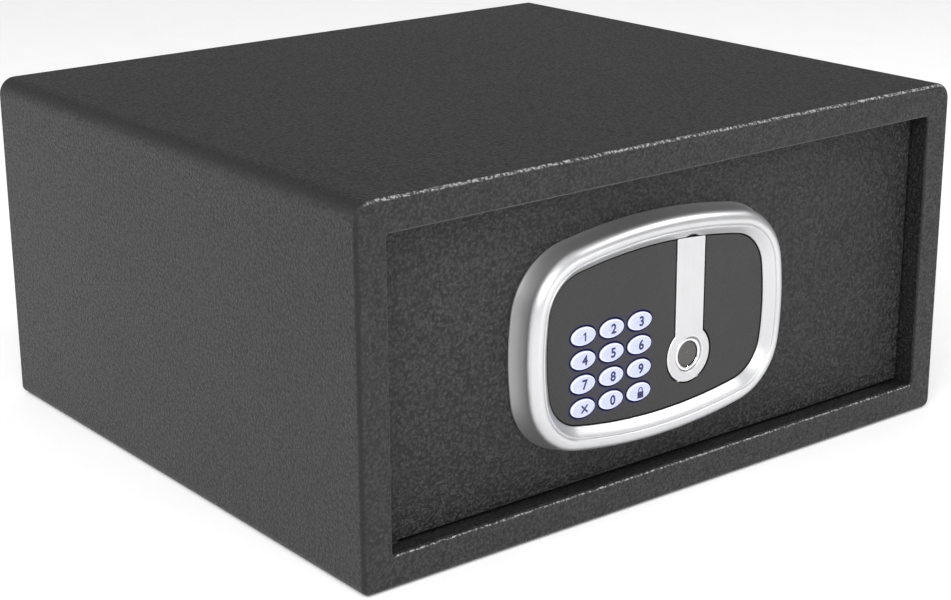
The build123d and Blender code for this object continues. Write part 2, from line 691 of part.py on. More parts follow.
def make_rack():
    """The bar that joins the carriage to the pinion, with the stub that the override cam would push."""
    pitch = math.pi * MODULE
    first = PINION_X - BOLT_THROW - 3 * pitch
    count = 11
    flank = math.tan(math.radians(20))
    tip, root = RACK_LINE - MODULE, RACK_LINE + 1.25 * MODULE
    # A pinion tooth stands straight up at rest, so a rack gap stands over the pinion's centre.
    phase = (PINION_X + pitch / 2 - first) % pitch
    with BuildPart() as rack:
        with BuildSketch(front_view(RACK_Y)):
            with Locations(((RACK_LEFT + CARRIAGE_X) / 2, (root + RACK_TOP) / 2)):
                Rectangle(CARRIAGE_X - RACK_LEFT, RACK_TOP - root)
            for i in range(count):
                x = first + phase + i * pitch
                half = (pitch / 2 - BACKLASH) / 2
                with BuildLine():
                    Polyline(
                        (x - half - 1.25 * MODULE * flank, root),
                        (x - half + MODULE * flank, tip),
                        (x + half - MODULE * flank, tip),
                        (x + half + 1.25 * MODULE * flank, root),
                        close=True,
                    )
                make_face()
        extrude(amount=-RACK_T)
        with BuildSketch(front_view(RACK_Y + RACK_T)):
            with Locations((COVER_X - BOLT_THROW - 6, RACK_TOP - 4.5)):
                Circle(3)
        extrude(amount=-(LOCK_END - RACK_Y - RACK_T))
    keep("bolt_rack", rack)


def make_pinion():
    """A spur gear with involute flanks, thinned for backlash, on the motor's shaft."""
    pressure = math.radians(20)
    base_r = PITCH_R * math.cos(pressure)
    tip_r, root_r = PITCH_R + MODULE * 0.9, PITCH_R - 1.25 * MODULE
    half_angle = (math.pi * MODULE / 2 - BACKLASH) / 2 / PITCH_R
    involute = math.tan(pressure) - pressure

    def flank_point(r):
        angle = math.acos(base_r / r)
        return half_angle + involute - (math.tan(angle) - angle)

    def polar(r, a):
        return (PINION_X + r * math.sin(a), PINION_Z + r * math.cos(a))

    radii = [base_r + (tip_r - base_r) * i / 5 for i in range(6)]
    with BuildPart() as pinion:
        with BuildSketch(front_view(RACK_Y - 0.5)):
            with Locations((PINION_X, PINION_Z)):
                Circle(root_r)
            for tooth in range(TEETH):
                turn = 2 * math.pi * tooth / TEETH
                right = [polar(r, turn + flank_point(r)) for r in radii]
                left = [polar(r, turn - flank_point(r)) for r in reversed(radii)]
                foot = flank_point(base_r)
                with BuildLine():
                    Polyline(
                        polar(root_r - 0.3, turn - foot),
                        polar(root_r - 0.3, turn + foot),
                        *right,
                        *left,
                        close=True,
                    )
                make_face()
        extrude(amount=-6)
        with BuildSketch(front_view(RACK_Y - 1)):
            with Locations((PINION_X, PINION_Z)):
                Circle(SHAFT_R)
        extrude(amount=-12)
    keep("drive_pinion", pinion)


def make_drive():
    plate_y, plate_t = FRONT + 26.8, 1.2
    gear_y = plate_y + plate_t
    with BuildPart() as motor:
        with BuildSketch(front_view(gear_y)):
            with Locations((PINION_X, PINION_Z)):
                Rectangle(10, 12)
                Circle(SHAFT_R + 0.1, mode=Mode.SUBTRACT)
        extrude(amount=-6)
        with BuildSketch(front_view(gear_y + 6)):
            with Locations((PINION_X, PINION_Z)):
                Rectangle(10, 12)
        extrude(amount=-3)
        with BuildSketch(front_view(gear_y + 9)):
            with Locations((PINION_X, PINION_Z)):
                Circle(6)
                Rectangle(10, 12, mode=Mode.INTERSECT)
        extrude(amount=-15)
        with BuildSketch(front_view(gear_y + 24)):
            with Locations((PINION_X, PINION_Z)):
                Circle(2.4)
        extrude(amount=-0.8)
    keep("gear_motor", motor)

    leg_z = PINION_Z - 17.0
    with BuildPart() as bracket:
        with BuildSketch(front_view(plate_y)):
            with Locations((PINION_X, (leg_z + PINION_Z + 6) / 2)):
                Rectangle(16, PINION_Z + 6 - leg_z)
            with Locations((PINION_X, PINION_Z)):
                Circle(2.2, mode=Mode.SUBTRACT)
        extrude(amount=-plate_t)
        with BuildSketch(front_view(CHASSIS_FACE)):
            with Locations((PINION_X, leg_z + plate_t / 2)):
                Rectangle(16, plate_t)
        extrude(amount=-(gear_y - CHASSIS_FACE))
        with BuildSketch(front_view(CHASSIS_FACE)):
            with Locations((PINION_X, leg_z - 6)):
                Rectangle(16, 12)
                Circle(1.6, mode=Mode.SUBTRACT)
        extrude(amount=-plate_t)
    keep("motor_bracket", bracket)

    flange_high = BOLT_Y + BOLT_R + 5
    with BuildPart() as chassis:
        with BuildSketch(front_view(DOOR_BACK)):
            with Locations(((CHASSIS_LEFT + CHASSIS_RIGHT) / 2, MID_Z)):
                RectangleRounded(CHASSIS_RIGHT - CHASSIS_LEFT, 132, 3)
            with Locations((PINION_X, leg_z - 6)):
                Circle(1.6, mode=Mode.SUBTRACT)
        extrude(amount=-CHASSIS_T)
        with BuildSketch(side_view(CHASSIS_RIGHT - CHASSIS_T)):
            with Locations(((DOOR_BACK + flange_high) / 2, MID_Z)):
                Rectangle(flange_high - DOOR_BACK, 126)
            with Locations(*[(BOLT_Y, z) for z in BOLT_Z]):
                Circle(BOLT_R + 1.6, mode=Mode.SUBTRACT)
        extrude(amount=CHASSIS_T)
    keep("lock_chassis", chassis)

    with BuildPart() as bushes:
        for x, length, radius in ((CHASSIS_RIGHT - 5, 3, BOLT_R + 3.2), (CHASSIS_RIGHT - 2, 4, BOLT_R + 1.6)):
            with BuildSketch(side_view(x)):
                with Locations(*[(BOLT_Y, z) for z in BOLT_Z]):
                    Circle(radius)
                    Circle(BOLT_R + 0.1, mode=Mode.SUBTRACT)
            extrude(amount=length)
    keep("bolt_bushes", bushes)

    with BuildPart() as guide:
        middle = (RACK_Y + RACK_Y + RACK_T) / 2
        with BuildSketch(side_view(GUIDE_X)):
            with Locations(((DOOR_BACK + middle + 5) / 2, (96 + 110) / 2)):
                Rectangle(middle + 5 - DOOR_BACK, 20)
            with Locations((middle, (RACK_LINE + 1.25 * MODULE + RACK_TOP) / 2)):
                Rectangle(RACK_T + 0.6, RACK_TOP - RACK_LINE - 1.25 * MODULE + 0.6, mode=Mode.SUBTRACT)
        extrude(amount=10)
    keep("rack_guide", guide)

    with BuildPart() as switches:
        for x, z in ((104.0, 122.0), (154.0, 100.0)):
            with BuildSketch(front_view(CHASSIS_FACE)):
                with Locations((x, z)):
                    Rectangle(12, 20)
            extrude(amount=-7)
        fillet(switches.edges().filter_by(Axis.Y), 0.8)
    keep("limit_switches", switches)

    with BuildPart() as screws:
        heads = [(CHASSIS_LEFT + 8, 42.0), (CHASSIS_LEFT + 8, 158.0), (166.0, 80.0), (166.0, 120.0)]
        heads_y = [(x, z, CHASSIS_FACE) for x, z in heads] + [(PINION_X, leg_z - 6, CHASSIS_FACE + plate_t)]
        for x, z, y in heads_y:
            with BuildSketch(front_view(y + 2.2)):
                with Locations((x, z)):
                    Circle(3.2)
                    Rectangle(3.6, 0.8, mode=Mode.SUBTRACT)
                    Rectangle(0.8, 3.6, mode=Mode.SUBTRACT)
            extrude(amount=1.2)
            with BuildSketch(front_view(y + 1.0)):
                with Locations((x, z)):
                    Circle(3.2)
            extrude(amount=1.0)
    keep("chassis_screws", screws)


# ================= Inner cover, battery and board =================


def make_inner_cover():
    width, height = COVER_RIGHT - COVER_LEFT, COVER_HIGH - COVER_LOW
    centre = ((COVER_LEFT + COVER_RIGHT) / 2, MID_Z)
    bay_w, bay_h = BOX_W - 3, BOX_H - 1.2
    with BuildPart() as cover:
        with BuildSketch(front_view(DOOR_BACK)):
            with Locations(centre):
                RectangleRounded(width, height, 8)
        extrude(amount=-(COVER_REAR - DOOR_BACK))
        fillet(cover.faces().sort_by(Axis.Y)[-1].edges(), 4)
        with BuildSketch(front_view(DOOR_BACK)):
            with Locations(centre):
                RectangleRounded(width - 2 * COVER_WALL, height - 2 * COVER_WALL, 6)
        extrude(amount=-(COVER_REAR - DOOR_BACK - COVER_WALL), mode=Mode.SUBTRACT)
        with BuildSketch(front_view(DOOR_BACK)):
            with Locations(*COVER_SCREWS):
                Circle(4.5)
        extrude(amount=-(COVER_REAR - DOOR_BACK - COVER_WALL))
        with BuildSketch(front_view(COVER_REAR - 3)):
            with Locations(*COVER_SCREWS):
                Circle(3.4)
            with Locations((BATTERY_X, BATTERY_Z)):
                RectangleRounded(bay_w, bay_h, 2)
        extrude(amount=-3, mode=Mode.SUBTRACT)
        with BuildSketch(front_view(COVER_REAR - RESET_BOSS)):
            with Locations((RESET_X, RESET_Z)):
                Circle(RESET_R + 2)
        extrude(amount=-(RESET_BOSS - COVER_WALL))
        with BuildSketch(front_view(COVER_REAR - RESET_BOSS)):
            with Locations((RESET_X, RESET_Z)):
                Circle(RESET_R + RUNNING)
        extrude(amount=-RESET_BOSS, mode=Mode.SUBTRACT)
        with BuildSketch(side_view(COVER_RIGHT - COVER_WALL)):
            with Locations(*[(BOLT_Y, z) for z in BOLT_Z]):
                Circle(BOLT_R + 1)
        extrude(amount=COVER_WALL, mode=Mode.SUBTRACT)
        for side in (-1, 1):
            with BuildSketch(side_view(BATTERY_X + side * (HATCH_W / 2 + 3.2) - 2)):
                with Locations((HATCH_AXIS_Y, HATCH_AXIS_Z)):
                    Circle(2.2)
                    with Locations((-1.1, 0)):
                        Rectangle(2.2, 4.4)
                    Circle(1.1, mode=Mode.SUBTRACT)
            extrude(amount=4)
    keep("inner_cover", cover)

    with BuildPart() as screws:
        with BuildSketch(front_view(COVER_REAR - 0.4)):
            with Locations(*COVER_SCREWS):
                Circle(3.2)
        extrude(amount=2.4)
        with BuildSketch(front_view(COVER_REAR - 0.4)):
            with Locations(*COVER_SCREWS):
                Rectangle(3.8, 0.9)
                Rectangle(0.9, 3.8)
        extrude(amount=1.2, mode=Mode.SUBTRACT)
    keep("cover_screws", screws)


def make_battery_hatch():
    low = HATCH_AXIS_Z + 2.0
    with BuildPart() as hatch:
        with BuildSketch(front_view(COVER_REAR + 0.3)):
            with Locations((BATTERY_X, low + HATCH_H / 2)):
                RectangleRounded(HATCH_W, HATCH_H, 3)
        extrude(amount=-2.0)
        fillet(hatch.faces().sort_by(Axis.Y)[-1].edges(), 0.8)
        with BuildSketch(side_view(BATTERY_X - HATCH_W / 2)):
            with Locations((HATCH_AXIS_Y, HATCH_AXIS_Z)):
                Circle(1.9)
                with Locations((-0.9, 2.5)):
                    Rectangle(1.2, 5)
                Circle(1.1, mode=Mode.SUBTRACT)
        extrude(amount=HATCH_W)
        for i in range(3):
            with BuildSketch(front_view(COVER_REAR + 2.3)):
                with Locations((BATTERY_X, low + HATCH_H - 8 - 2.4 * i)):
                    Rectangle(18, 1.0)
            extrude(amount=-0.6)
    keep("battery_hatch", hatch)

    with BuildPart() as pin:
        with BuildSketch(side_view(BATTERY_X - HATCH_W / 2 - 5.2)):
            with Locations((HATCH_AXIS_Y, HATCH_AXIS_Z)):
                Circle(1.0)
        extrude(amount=HATCH_W + 10.4)
    keep("hatch_pin", pin)

    with BuildPart() as box:
        back = COVER_REAR - COVER_WALL
        front = back - 2 * AA_R - 2.2
        with BuildSketch(front_view(front)):
            with Locations((BATTERY_X, BATTERY_Z)):
                Rectangle(BOX_W, BOX_H)
        extrude(amount=-(back - front))
        with BuildSketch(front_view(front + 1.6)):
            with Locations((BATTERY_X, BATTERY_Z)):
                Rectangle(BOX_W - 3, BOX_H - 1.2)
        extrude(amount=-(back - front), mode=Mode.SUBTRACT)
    keep("battery_box", box)

    cell_y = back - AA_R - 0.3
    cells = [(BATTERY_Z + (i - 1.5) * CELL_PITCH, 1 if i % 2 else -1) for i in range(4)]
    with BuildPart() as batteries:
        for z, way in cells:
            start = BATTERY_X - way * (AA_L - 1) / 2
            with BuildSketch(side_view(start)):
                with Locations((cell_y, z)):
                    Circle(AA_R)
            extrude(amount=way * (AA_L - 1.4))
            with BuildSketch(side_view(start + way * (AA_L - 1.4))):
                with Locations((cell_y, z)):
                    Circle(2.7)
            extrude(amount=way * 1.2)
    keep("batteries", batteries)

    with BuildPart() as contacts:
        for z, way in cells:
            for side in (-1, 1):
                with BuildSketch(side_view(BATTERY_X + side * (BOX_W / 2 - 1.5 - 0.25) - 0.25)):
                    with Locations((cell_y, z)):
                        Rectangle(10, 10)
                extrude(amount=0.5)
            # The negative end's coil, drawn as the cone that it fills.
            foot = BATTERY_X - way * (BOX_W / 2 - 2.0)
            with BuildSketch(side_view(foot)):
                with Locations((cell_y, z)):
                    Circle(3.6)
                    Circle(2.6, mode=Mode.SUBTRACT)
            extrude(amount=way * (BOX_W / 2 - 2.0 - (AA_L - 1) / 2))
    keep("battery_contacts", contacts)


def make_board_and_reset():
    with BuildPart() as board:
        with BuildSketch(front_view(BOARD_Y)):
            with Locations((-110, MID_Z)):
                RectangleRounded(84, 112, 2)
            with Locations(*BOARD_SCREWS):
                Circle(1.6, mode=Mode.SUBTRACT)
        extrude(amount=-BOARD_T)
        for x, z, w, h, t in BOARD_ITEMS.values():
            with BuildSketch(front_view(BOARD_Y + BOARD_T)):
                with Locations((x, z)):
                    Rectangle(w, h)
            extrude(amount=-t)
    keep("control_board", board)

    with BuildPart() as posts:
        with BuildSketch(front_view(DOOR_BACK)):
            with Locations(*BOARD_SCREWS):
                Circle(3)
        extrude(amount=-(BOARD_Y - DOOR_BACK))
        with BuildSketch(front_view(BOARD_Y + 1.6)):
            with Locations(*BOARD_SCREWS):
                Circle(2.8)
        extrude(amount=-2)
        with BuildSketch(front_view(BOARD_Y)):
            with Locations(*BOARD_SCREWS):
                Circle(1.5)
        extrude(amount=-1.6)
    keep("board_posts", posts)

    stem_end = BOARD_Y + BOARD_T + BOARD_ITEMS["reset_switch"][4] + RESET_TRAVEL + 0.3
    button_end = COVER_REAR + 0.4
    with BuildPart() as button:
        with BuildSketch(front_view(COVER_REAR - RESET_BOSS - 0.3)):
            with Locations((RESET_X, RESET_Z)):
                Circle(RESET_R)
        extrude(amount=-(button_end - COVER_REAR + RESET_BOSS + 0.3))
        fillet(button.faces().sort_by(Axis.Y)[-1].edges(), 0.6)
        with BuildSketch(front_view(COVER_REAR - RESET_BOSS - 1.5)):
            with Locations((RESET_X, RESET_Z)):
                Circle(RESET_R + 1.4)
        extrude(amount=-1.2)
        with BuildSketch(front_view(stem_end)):
            with Locations((RESET_X, RESET_Z)):
                Circle(2)
        extrude(amount=-(COVER_REAR - RESET_BOSS - 1.5 - stem_end))
    keep("reset_button", button)


def lead(points, bend):
    """A round lead along straight runs joined by tangent arcs."""
    with BuildPart(mode=Mode.PRIVATE) as wire:
        with BuildLine() as path:
            FilletPolyline(*points, radius=bend)
        with BuildSketch(path.line ^ 0):
            Circle(LEAD_R)
        sweep(path=path.line)
    return wire.part


def make_wiring():
    """A flat ribbon from the keypad board, two leads from the motor and two from the battery box."""
    rear = COVER_REAR - COVER_WALL
    motor_x, motor_z = BOARD_ITEMS["motor_socket"][:2]
    battery_x, battery_z = BOARD_ITEMS["battery_socket"][:2]
    socket_top = BOARD_Y + BOARD_T + 6.0
    leads = []
    for side in (-1, 1):
        leads.append(
            lead(
                [
                    (PINION_X + side * 2, rear - 5, PINION_Z - 6),
                    (PINION_X + side * 2, rear - 5, PINION_Z - 20 - side),
                    (30, rear - 8, 62 - side * 1.5),
                    (-40, rear - 8, 66 - side * 1.5),
                    (motor_x + 5, socket_top + 13, motor_z - side * 1.5),
                    (motor_x, socket_top + 10, motor_z - side * 1.5),
                    (motor_x, socket_top, motor_z - side * 1.5),
                ],
                2.5,
            )
        )
        leads.append(
            lead(
                [
                    (BATTERY_X + BOX_W / 2, rear - 8, battery_z + side * 1.5),
                    (battery_x, rear - 8, battery_z + side * 1.5),
                    (battery_x, socket_top, battery_z + side * 1.5),
                ],
                4.0,
            )
        )
    with BuildPart() as wiring:
        with BuildSketch(Plane.XY.offset(RIBBON_Z - RIBBON_W / 2)):
            with BuildLine():
                start = PCB_FACE + PCB_T + RIBBON_T / 2
                bend = BOARD_Y + BOARD_T + 8
                end_x = BOARD_ITEMS["ribbon_socket"][0]
                end_y = BOARD_Y + BOARD_T + BOARD_ITEMS["ribbon_socket"][4] + RIBBON_T / 2
                FilletPolyline((RIBBON_X, start), (RIBBON_X, bend), (end_x, bend), (end_x, end_y), radius=3)
                offset(amount=RIBBON_T / 2, side=Side.BOTH, closed=True)
            make_face()
        extrude(amount=RIBBON_W)
        add(leads)
    keep("door_wiring", wiring)


def main():
    os.makedirs("parts", exist_ok=True)
    make_body_shell()
    make_rear_panel()
    make_door_frame()
    make_hinge_hardware()
    make_strike_plate()
    make_floor_mat()
    make_door()
    make_bezel()
    make_face_panel()
    make_override_cover()
    make_keys()
    make_unit_internals()
    make_override_lock()
    make_bolts()
    make_rack()
    make_pinion()
    make_drive()
    make_inner_cover()
    make_battery_hatch()
    make_board_and_reset()
    make_wiring()


if __name__ == "__main__":
    main()
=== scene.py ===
import math

import bmesh
import bpy
from mathutils import Matrix, Quaternion, Vector


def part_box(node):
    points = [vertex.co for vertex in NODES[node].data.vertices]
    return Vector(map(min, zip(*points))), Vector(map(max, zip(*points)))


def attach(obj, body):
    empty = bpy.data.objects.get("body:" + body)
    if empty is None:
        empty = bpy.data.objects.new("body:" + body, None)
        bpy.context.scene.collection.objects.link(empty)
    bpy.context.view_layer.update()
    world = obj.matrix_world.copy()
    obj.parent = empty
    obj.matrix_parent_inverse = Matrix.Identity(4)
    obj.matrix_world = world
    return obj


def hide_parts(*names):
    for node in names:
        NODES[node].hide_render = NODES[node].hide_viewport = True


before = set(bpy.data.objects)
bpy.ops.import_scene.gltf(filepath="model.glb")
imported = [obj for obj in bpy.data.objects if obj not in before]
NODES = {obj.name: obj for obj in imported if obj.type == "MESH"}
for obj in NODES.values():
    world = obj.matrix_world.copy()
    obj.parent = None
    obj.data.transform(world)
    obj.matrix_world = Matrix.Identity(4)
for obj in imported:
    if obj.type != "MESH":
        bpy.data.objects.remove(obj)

bpy.context.view_layer.update()
MM = 0.001
HALF_TURN = 0.707  # each part of a unit vector that points midway between two axes

# ---------------------------------------------------------------- the safe's lines, in millimetres

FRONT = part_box("body_shell")[0].y / MM
UNIT_X, UNIT_Z = -16.0, 98.3  # centre of the keypad unit
RIM_W, RIM_H = 77.75, 47.0  # half size of the opening that holds the panel
TOP_ARC, SIDE_ARC, CORNER_ARC = 310.0, 150.0, 24.0  # its three radii
PANEL_FACE = FRONT + 1.0
KEY_W, KEY_H = 8.1, 4.8  # half size of a key
KEY_PITCH = (19.6, 13.15)
FIRST_KEY = (-69.2, 105.2)
KEY_PROUD = 1.2
MARK_SHIFT = (0.7, -0.3)  # the print sits a little right of each key's middle, and low
KEY_NAMES = ("1", "2", "3", "4", "5", "6", "7", "8", "9", "clear", "0", "lock")
STRIP_X = 6.4  # middle of the override cover
STRIP_HALF, STRIP_TOP = 10.0, 144.3  # its half width, and where the bezel's lip covers it
STRIP_END, STRIP_END_Z = 15.5, 78.6  # its round end's radius and centre
STRIP_HINGE = 0.62  # half the angle that the hinge takes up at the bottom of the round end
NOTCH_X, NOTCH_HALF, NOTCH_DEPTH = STRIP_X - UNIT_X + 0.6, 5.2, 3.0  # finger notch above the strip
LENS_RADIUS = 7.0


# ---------------------------------------------------------------- camera, floor and light

def make_camera():
    azimuth, elevation, roll = math.radians(-37.0), math.radians(17.66), math.radians(-0.70)
    target = Vector((-0.025, 0.0, 0.0757))
    distance = 1.207
    back = Vector((
        math.sin(azimuth) * math.cos(elevation),
        -math.cos(azimuth) * math.cos(elevation),
        math.sin(elevation),
    ))
    data = bpy.data.cameras.new("camera")
    data.sensor_width = 36.0
    data.lens = 76.315
    data.shift_x = 0.0426
    data.shift_y = -0.0105
    data.clip_start = 0.01
    camera = bpy.data.objects.new("camera", data)
    bpy.context.scene.collection.objects.link(camera)
    camera.location = target + back * distance
    camera.rotation_mode = "QUATERNION"
    camera.rotation_quaternion = (-back).to_track_quat("-Z", "Y") @ Quaternion((0, 0, 1), roll)
    bpy.context.scene.camera = camera


def add_light(name, place, aim, size, power):
    data = bpy.data.lights.new(name, "AREA")
    data.shape = "RECTANGLE"
    data.size, data.size_y = size
    data.energy = power
    light = bpy.data.objects.new(name, data)
    bpy.context.scene.collection.objects.link(light)
    light.location = place
    light.rotation_mode = "QUATERNION"
    light.rotation_quaternion = (Vector(aim) - Vector(place)).to_track_quat("-Z", "Y")


def make_studio():
    """White surroundings with two darker sides, which keep the dark paint dark, and soft lights."""
    world = bpy.data.worlds.new("studio")
    bpy.context.scene.world = world
    world.use_nodes = True
    nodes, links = world.node_tree.nodes, world.node_tree.links
    coordinates = nodes.new("ShaderNodeTexCoord")
    light = None
    darker_sides = ((0.573, 0.76, 0.303), 0.15, 0.38), ((0.80, -0.58, 0.12), 0.20, 0.55)
    for towards, start, dark in darker_sides:
        facing = nodes.new("ShaderNodeVectorMath")
        facing.operation = "DOT_PRODUCT"
        facing.inputs[1].default_value = Vector(towards).normalized()
        links.new(coordinates.outputs["Generated"], facing.inputs[0])
        ramp = nodes.new("ShaderNodeMapRange")
        ramp.interpolation_type = "SMOOTHSTEP"
        ramp.inputs["From Min"].default_value = start
        ramp.inputs["From Max"].default_value = 0.95
        ramp.inputs["To Min"].default_value = 1.0
        ramp.inputs["To Max"].default_value = dark
        links.new(facing.outputs["Value"], ramp.inputs["Value"])
        if light is None:
            light = ramp.outputs["Result"]
        else:
            both = nodes.new("ShaderNodeMath")
            both.operation = "MULTIPLY"
            links.new(light, both.inputs[0])
            links.new(ramp.outputs["Result"], both.inputs[1])
            light = both.outputs[0]
    links.new(light, nodes["Background"].inputs["Color"])
    nodes["Background"].inputs["Strength"].default_value = 0.80
    scene = bpy.context.scene
    scene.view_settings.view_transform = "Standard"
    scene.view_settings.look = "None"
    add_light("key_softbox", (-1.2, -1.3, 1.3), (0, 0, 0.1), (1.2, 0.9), 19.0)
    add_light("low_softbox", (0.35, -1.45, 0.30), (0, -0.2, 0.06), (1.0, 0.4), 3.6)
    add_light("back_softbox", (-1.5, 0.7, 1.3), (-0.9, 0.3, 0.0), (0.9, 0.9), 10.0)
    add_light("edge_softbox", (1.25, -0.75, 1.55), (0, -0.1, 0.15), (0.35, 0.2), 9.0)


def make_floor():
    mesh = bpy.data.meshes.new("floor")
    model = bmesh.new()
    bmesh.ops.create_grid(model, x_segments=8, y_segments=8, size=4.0)
    model.to_mesh(mesh)
    model.free()
    floor = bpy.data.objects.new("floor", mesh)
    bpy.context.scene.collection.objects.link(floor)
    floor.location.z = -0.0003
    floor.data.materials.append(FINISH["floor"])


# ---------------------------------------------------------------- finishes

class Finish:
    """A procedural material on the object's own coordinates, in metres."""

    def __init__(self, name, metallic=0.0, **sockets):
        self.material = bpy.data.materials.new(name)
        self.material.use_nodes = True
        self.tree = self.material.node_tree
        self.shader = self.tree.nodes["Principled BSDF"]
        self.shader.inputs["Metallic"].default_value = metallic
        for socket, value in sockets.items():
            self.shader.inputs[socket.replace("_", " ")].default_value = value
        self.place = self.tree.nodes.new("ShaderNodeTexCoord").outputs["Object"]
        self.rounded = None

    def node(self, kind, inputs=(), **settings):
        made = self.tree.nodes.new(kind)
        for key, value in settings.items():
            setattr(made, key, value)
        for key, value in dict(inputs).items():
            if isinstance(value, bpy.types.NodeSocket):
                self.tree.links.new(value, made.inputs[key])
            else:
                made.inputs[key].default_value = value
        return made

    def stretched(self, factors):
        scaled = self.node("ShaderNodeMapping", {"Vector": self.place, "Scale": factors})
        return scaled.outputs["Vector"]

    def noise(self, scale, detail=3.0, rough=0.55, stretch=None):
        place = self.stretched(stretch) if stretch else self.place
        made = self.node(
            "ShaderNodeTexNoise",
            {"Vector": place, "Scale": scale, "Detail": detail, "Roughness": rough},
        )
        return made.outputs["Fac"]

    def cells(self, scale, feature="SMOOTH_F1", output="Distance", warp=0.0):
        place = self.place
        if warp:
            jitter = self.node("ShaderNodeTexNoise", {"Vector": self.place, "Scale": scale * 0.8})
            shift = self.node("ShaderNodeVectorMath", operation="SCALE")
            self.tree.links.new(jitter.outputs["Color"], shift.inputs[0])
            shift.inputs["Scale"].default_value = warp / scale
            moved = self.node("ShaderNodeVectorMath", {0: self.place, 1: shift.outputs[0]})
            place = moved.outputs[0]
        made = self.node("ShaderNodeTexVoronoi", {"Vector": place, "Scale": scale}, feature=feature)
        return made.outputs[output]

    def sum(self, a, b, share=0.5):
        made = self.node("ShaderNodeMix", {"Factor": share, "A": a, "B": b}, data_type="FLOAT")
        return made.outputs[0]

    def spread(self, source, low, high, start=0.3, end=0.7):
        made = self.node(
            "ShaderNodeMapRange",
            {"Value": source, "From Min": start, "From Max": end, "To Min": low, "To Max": high},
        )
        return made.outputs["Result"]

    def colour(self, source, *stops):
        made = self.node("ShaderNodeValToRGB", {"Fac": source})
        ramp = made.color_ramp
        while len(ramp.elements) < len(stops):
            ramp.elements.new(0.5)
        for element, (place, shade) in zip(ramp.elements, stops):
            element.position = place
            element.color = (*shade, 1.0)
        return made.outputs["Color"]

    def facing(self, towards):
        """How squarely the surface, its edges rounded, faces a direction in the object's frame."""
        if self.rounded is None:
            rounded = self.node("ShaderNodeBevel", {"Radius": 0.0010}, samples=4)
            self.rounded = self.node(
                "ShaderNodeVectorTransform", {"Vector": rounded.outputs["Normal"]},
                vector_type="NORMAL", convert_from="WORLD", convert_to="OBJECT",
            ).outputs[0]
        made = self.node(
            "ShaderNodeVectorMath", {0: self.rounded, 1: towards}, operation="DOT_PRODUCT"
        )
        return made.outputs["Value"]

    def bend(self, towards, start=0.90):
        """1 on an edge or bend whose rounded normal points this way."""
        return self.spread(self.facing(towards), 0.0, 1.0, start, 0.99)

    def blend(self, first, second, share):
        made = self.node("ShaderNodeMix", data_type="RGBA")
        self.tree.links.new(share, made.inputs["Factor"])
        self.tree.links.new(first, made.inputs[6])
        made.inputs[7].default_value = (*second, 1.0)
        return made.outputs[2]

    def axis(self, letter):
        parts = self.node("ShaderNodeSeparateXYZ", {"Vector": self.place})
        return parts.outputs[letter]

    def set(self, socket, source):
        self.tree.links.new(source, self.shader.inputs[socket])

    def relief(self, height, depth, strength=1.0, edge=0.0):
        inputs = {"Height": height, "Distance": depth, "Strength": strength}
        if edge:
            rounded = self.node("ShaderNodeBevel", {"Radius": edge}, samples=4)
            inputs["Normal"] = rounded.outputs["Normal"]
        self.set("Normal", self.node("ShaderNodeBump", inputs).outputs["Normal"])


def grey(value):
    return (value, value, value)


def powder_coat(name, size, depth, pit, top, rough):
    """Textured powder paint: pebbles about `size` metres across, glossier on top, with painted
    shade in the pits and painted light on the tops.

    The front's bend that faces up carries painted glints in specks. Those that face down and right
    carry a faint painted highlight, a little lighter than the paint. The left upright bend and the
    top's side bends carry painted shade.
    """
    made = Finish(name, Specular_IOR_Level=0.42)
    pebbles = made.cells(1 / size, warp=0.9)
    fine = made.noise(1.7 / size, detail=5.0, rough=0.65)
    height = made.spread(made.sum(pebbles, fine, 0.5), 1.0, 0.0, 0.25, 0.60)
    patches = made.noise(7.0, detail=5.0)
    shade = made.sum(height, patches, 0.12)
    middle = (pit + top) / 2.6
    # painted shade and light: the colour runs from `pit` in the hollows of the grain to `top` on
    # its crests
    paint = made.colour(shade, (0.12, grey(pit)), (0.50, grey(middle)), (0.85, grey(top)))
    # painted shade: the left upright bend darkened, where the real bend reflects something dark
    painted = made.blend(paint, grey(0.0015), made.bend((-HALF_TURN, -HALF_TURN, 0.0), start=0.78))
    # painted shade: the top's side bends darkened
    for side in (-HALF_TURN, HALF_TURN):
        painted = made.blend(painted, grey(0.004), made.bend((side, 0.0, HALF_TURN), start=0.88))
    # painted highlight: the bends that face down and right made a little lighter than the paint
    painted = made.blend(painted, grey(0.085), made.bend((0.0, -HALF_TURN, -HALF_TURN)))
    painted = made.blend(painted, grey(0.060), made.bend((HALF_TURN, -HALF_TURN, 0.0)))
    # painted glints: light specks on the bend that faces up, standing in for highlights of the
    # light on the grain
    specks = made.spread(made.noise(700.0, detail=2.0), 0.05, 1.0, 0.44, 0.62)
    facing_up = made.bend((0.0, -HALF_TURN, HALF_TURN))
    painted_glints = made.node("ShaderNodeMath", {0: facing_up, 1: specks}, operation="MULTIPLY")
    made.set("Base Color", made.blend(painted, grey(0.40), painted_glints.outputs[0]))
    made.set("Roughness", made.spread(shade, rough[1], rough[0], 0.1, 0.9))
    made.relief(height, depth, edge=0.0006)
    return made.material


def metal(name, shade, rough, grain, depth, stretch=None, edge=0.0003, share=1.0, rim=None):
    """Bare or plated metal. `rim` is a painted highlight: the lighter tone given to the rounded
    edges of a piece that faces the front.
    """
    made = Finish(name, metallic=share)
    lines = made.noise(grain, detail=4.0, stretch=stretch)
    clouds = made.noise(30.0, detail=4.0)
    tone = made.sum(lines, clouds, 0.5)
    dark = tuple(c * 0.90 for c in shade)
    face = made.colour(tone, (0.35, dark), (0.65, shade))
    if rim:
        # painted highlight: the base colour turns to `rim` where the rounded edge turns away from
        # the front
        front = made.facing((0.0, -1.0, 0.0))
        face = made.blend(face, rim, made.spread(front, 1.0, 0.0, 0.80, 0.99))
    made.set("Base Color", face)
    made.set("Roughness", made.spread(tone, *rough, 0.35, 0.65))
    made.relief(lines, depth, edge=edge)
    return made.material


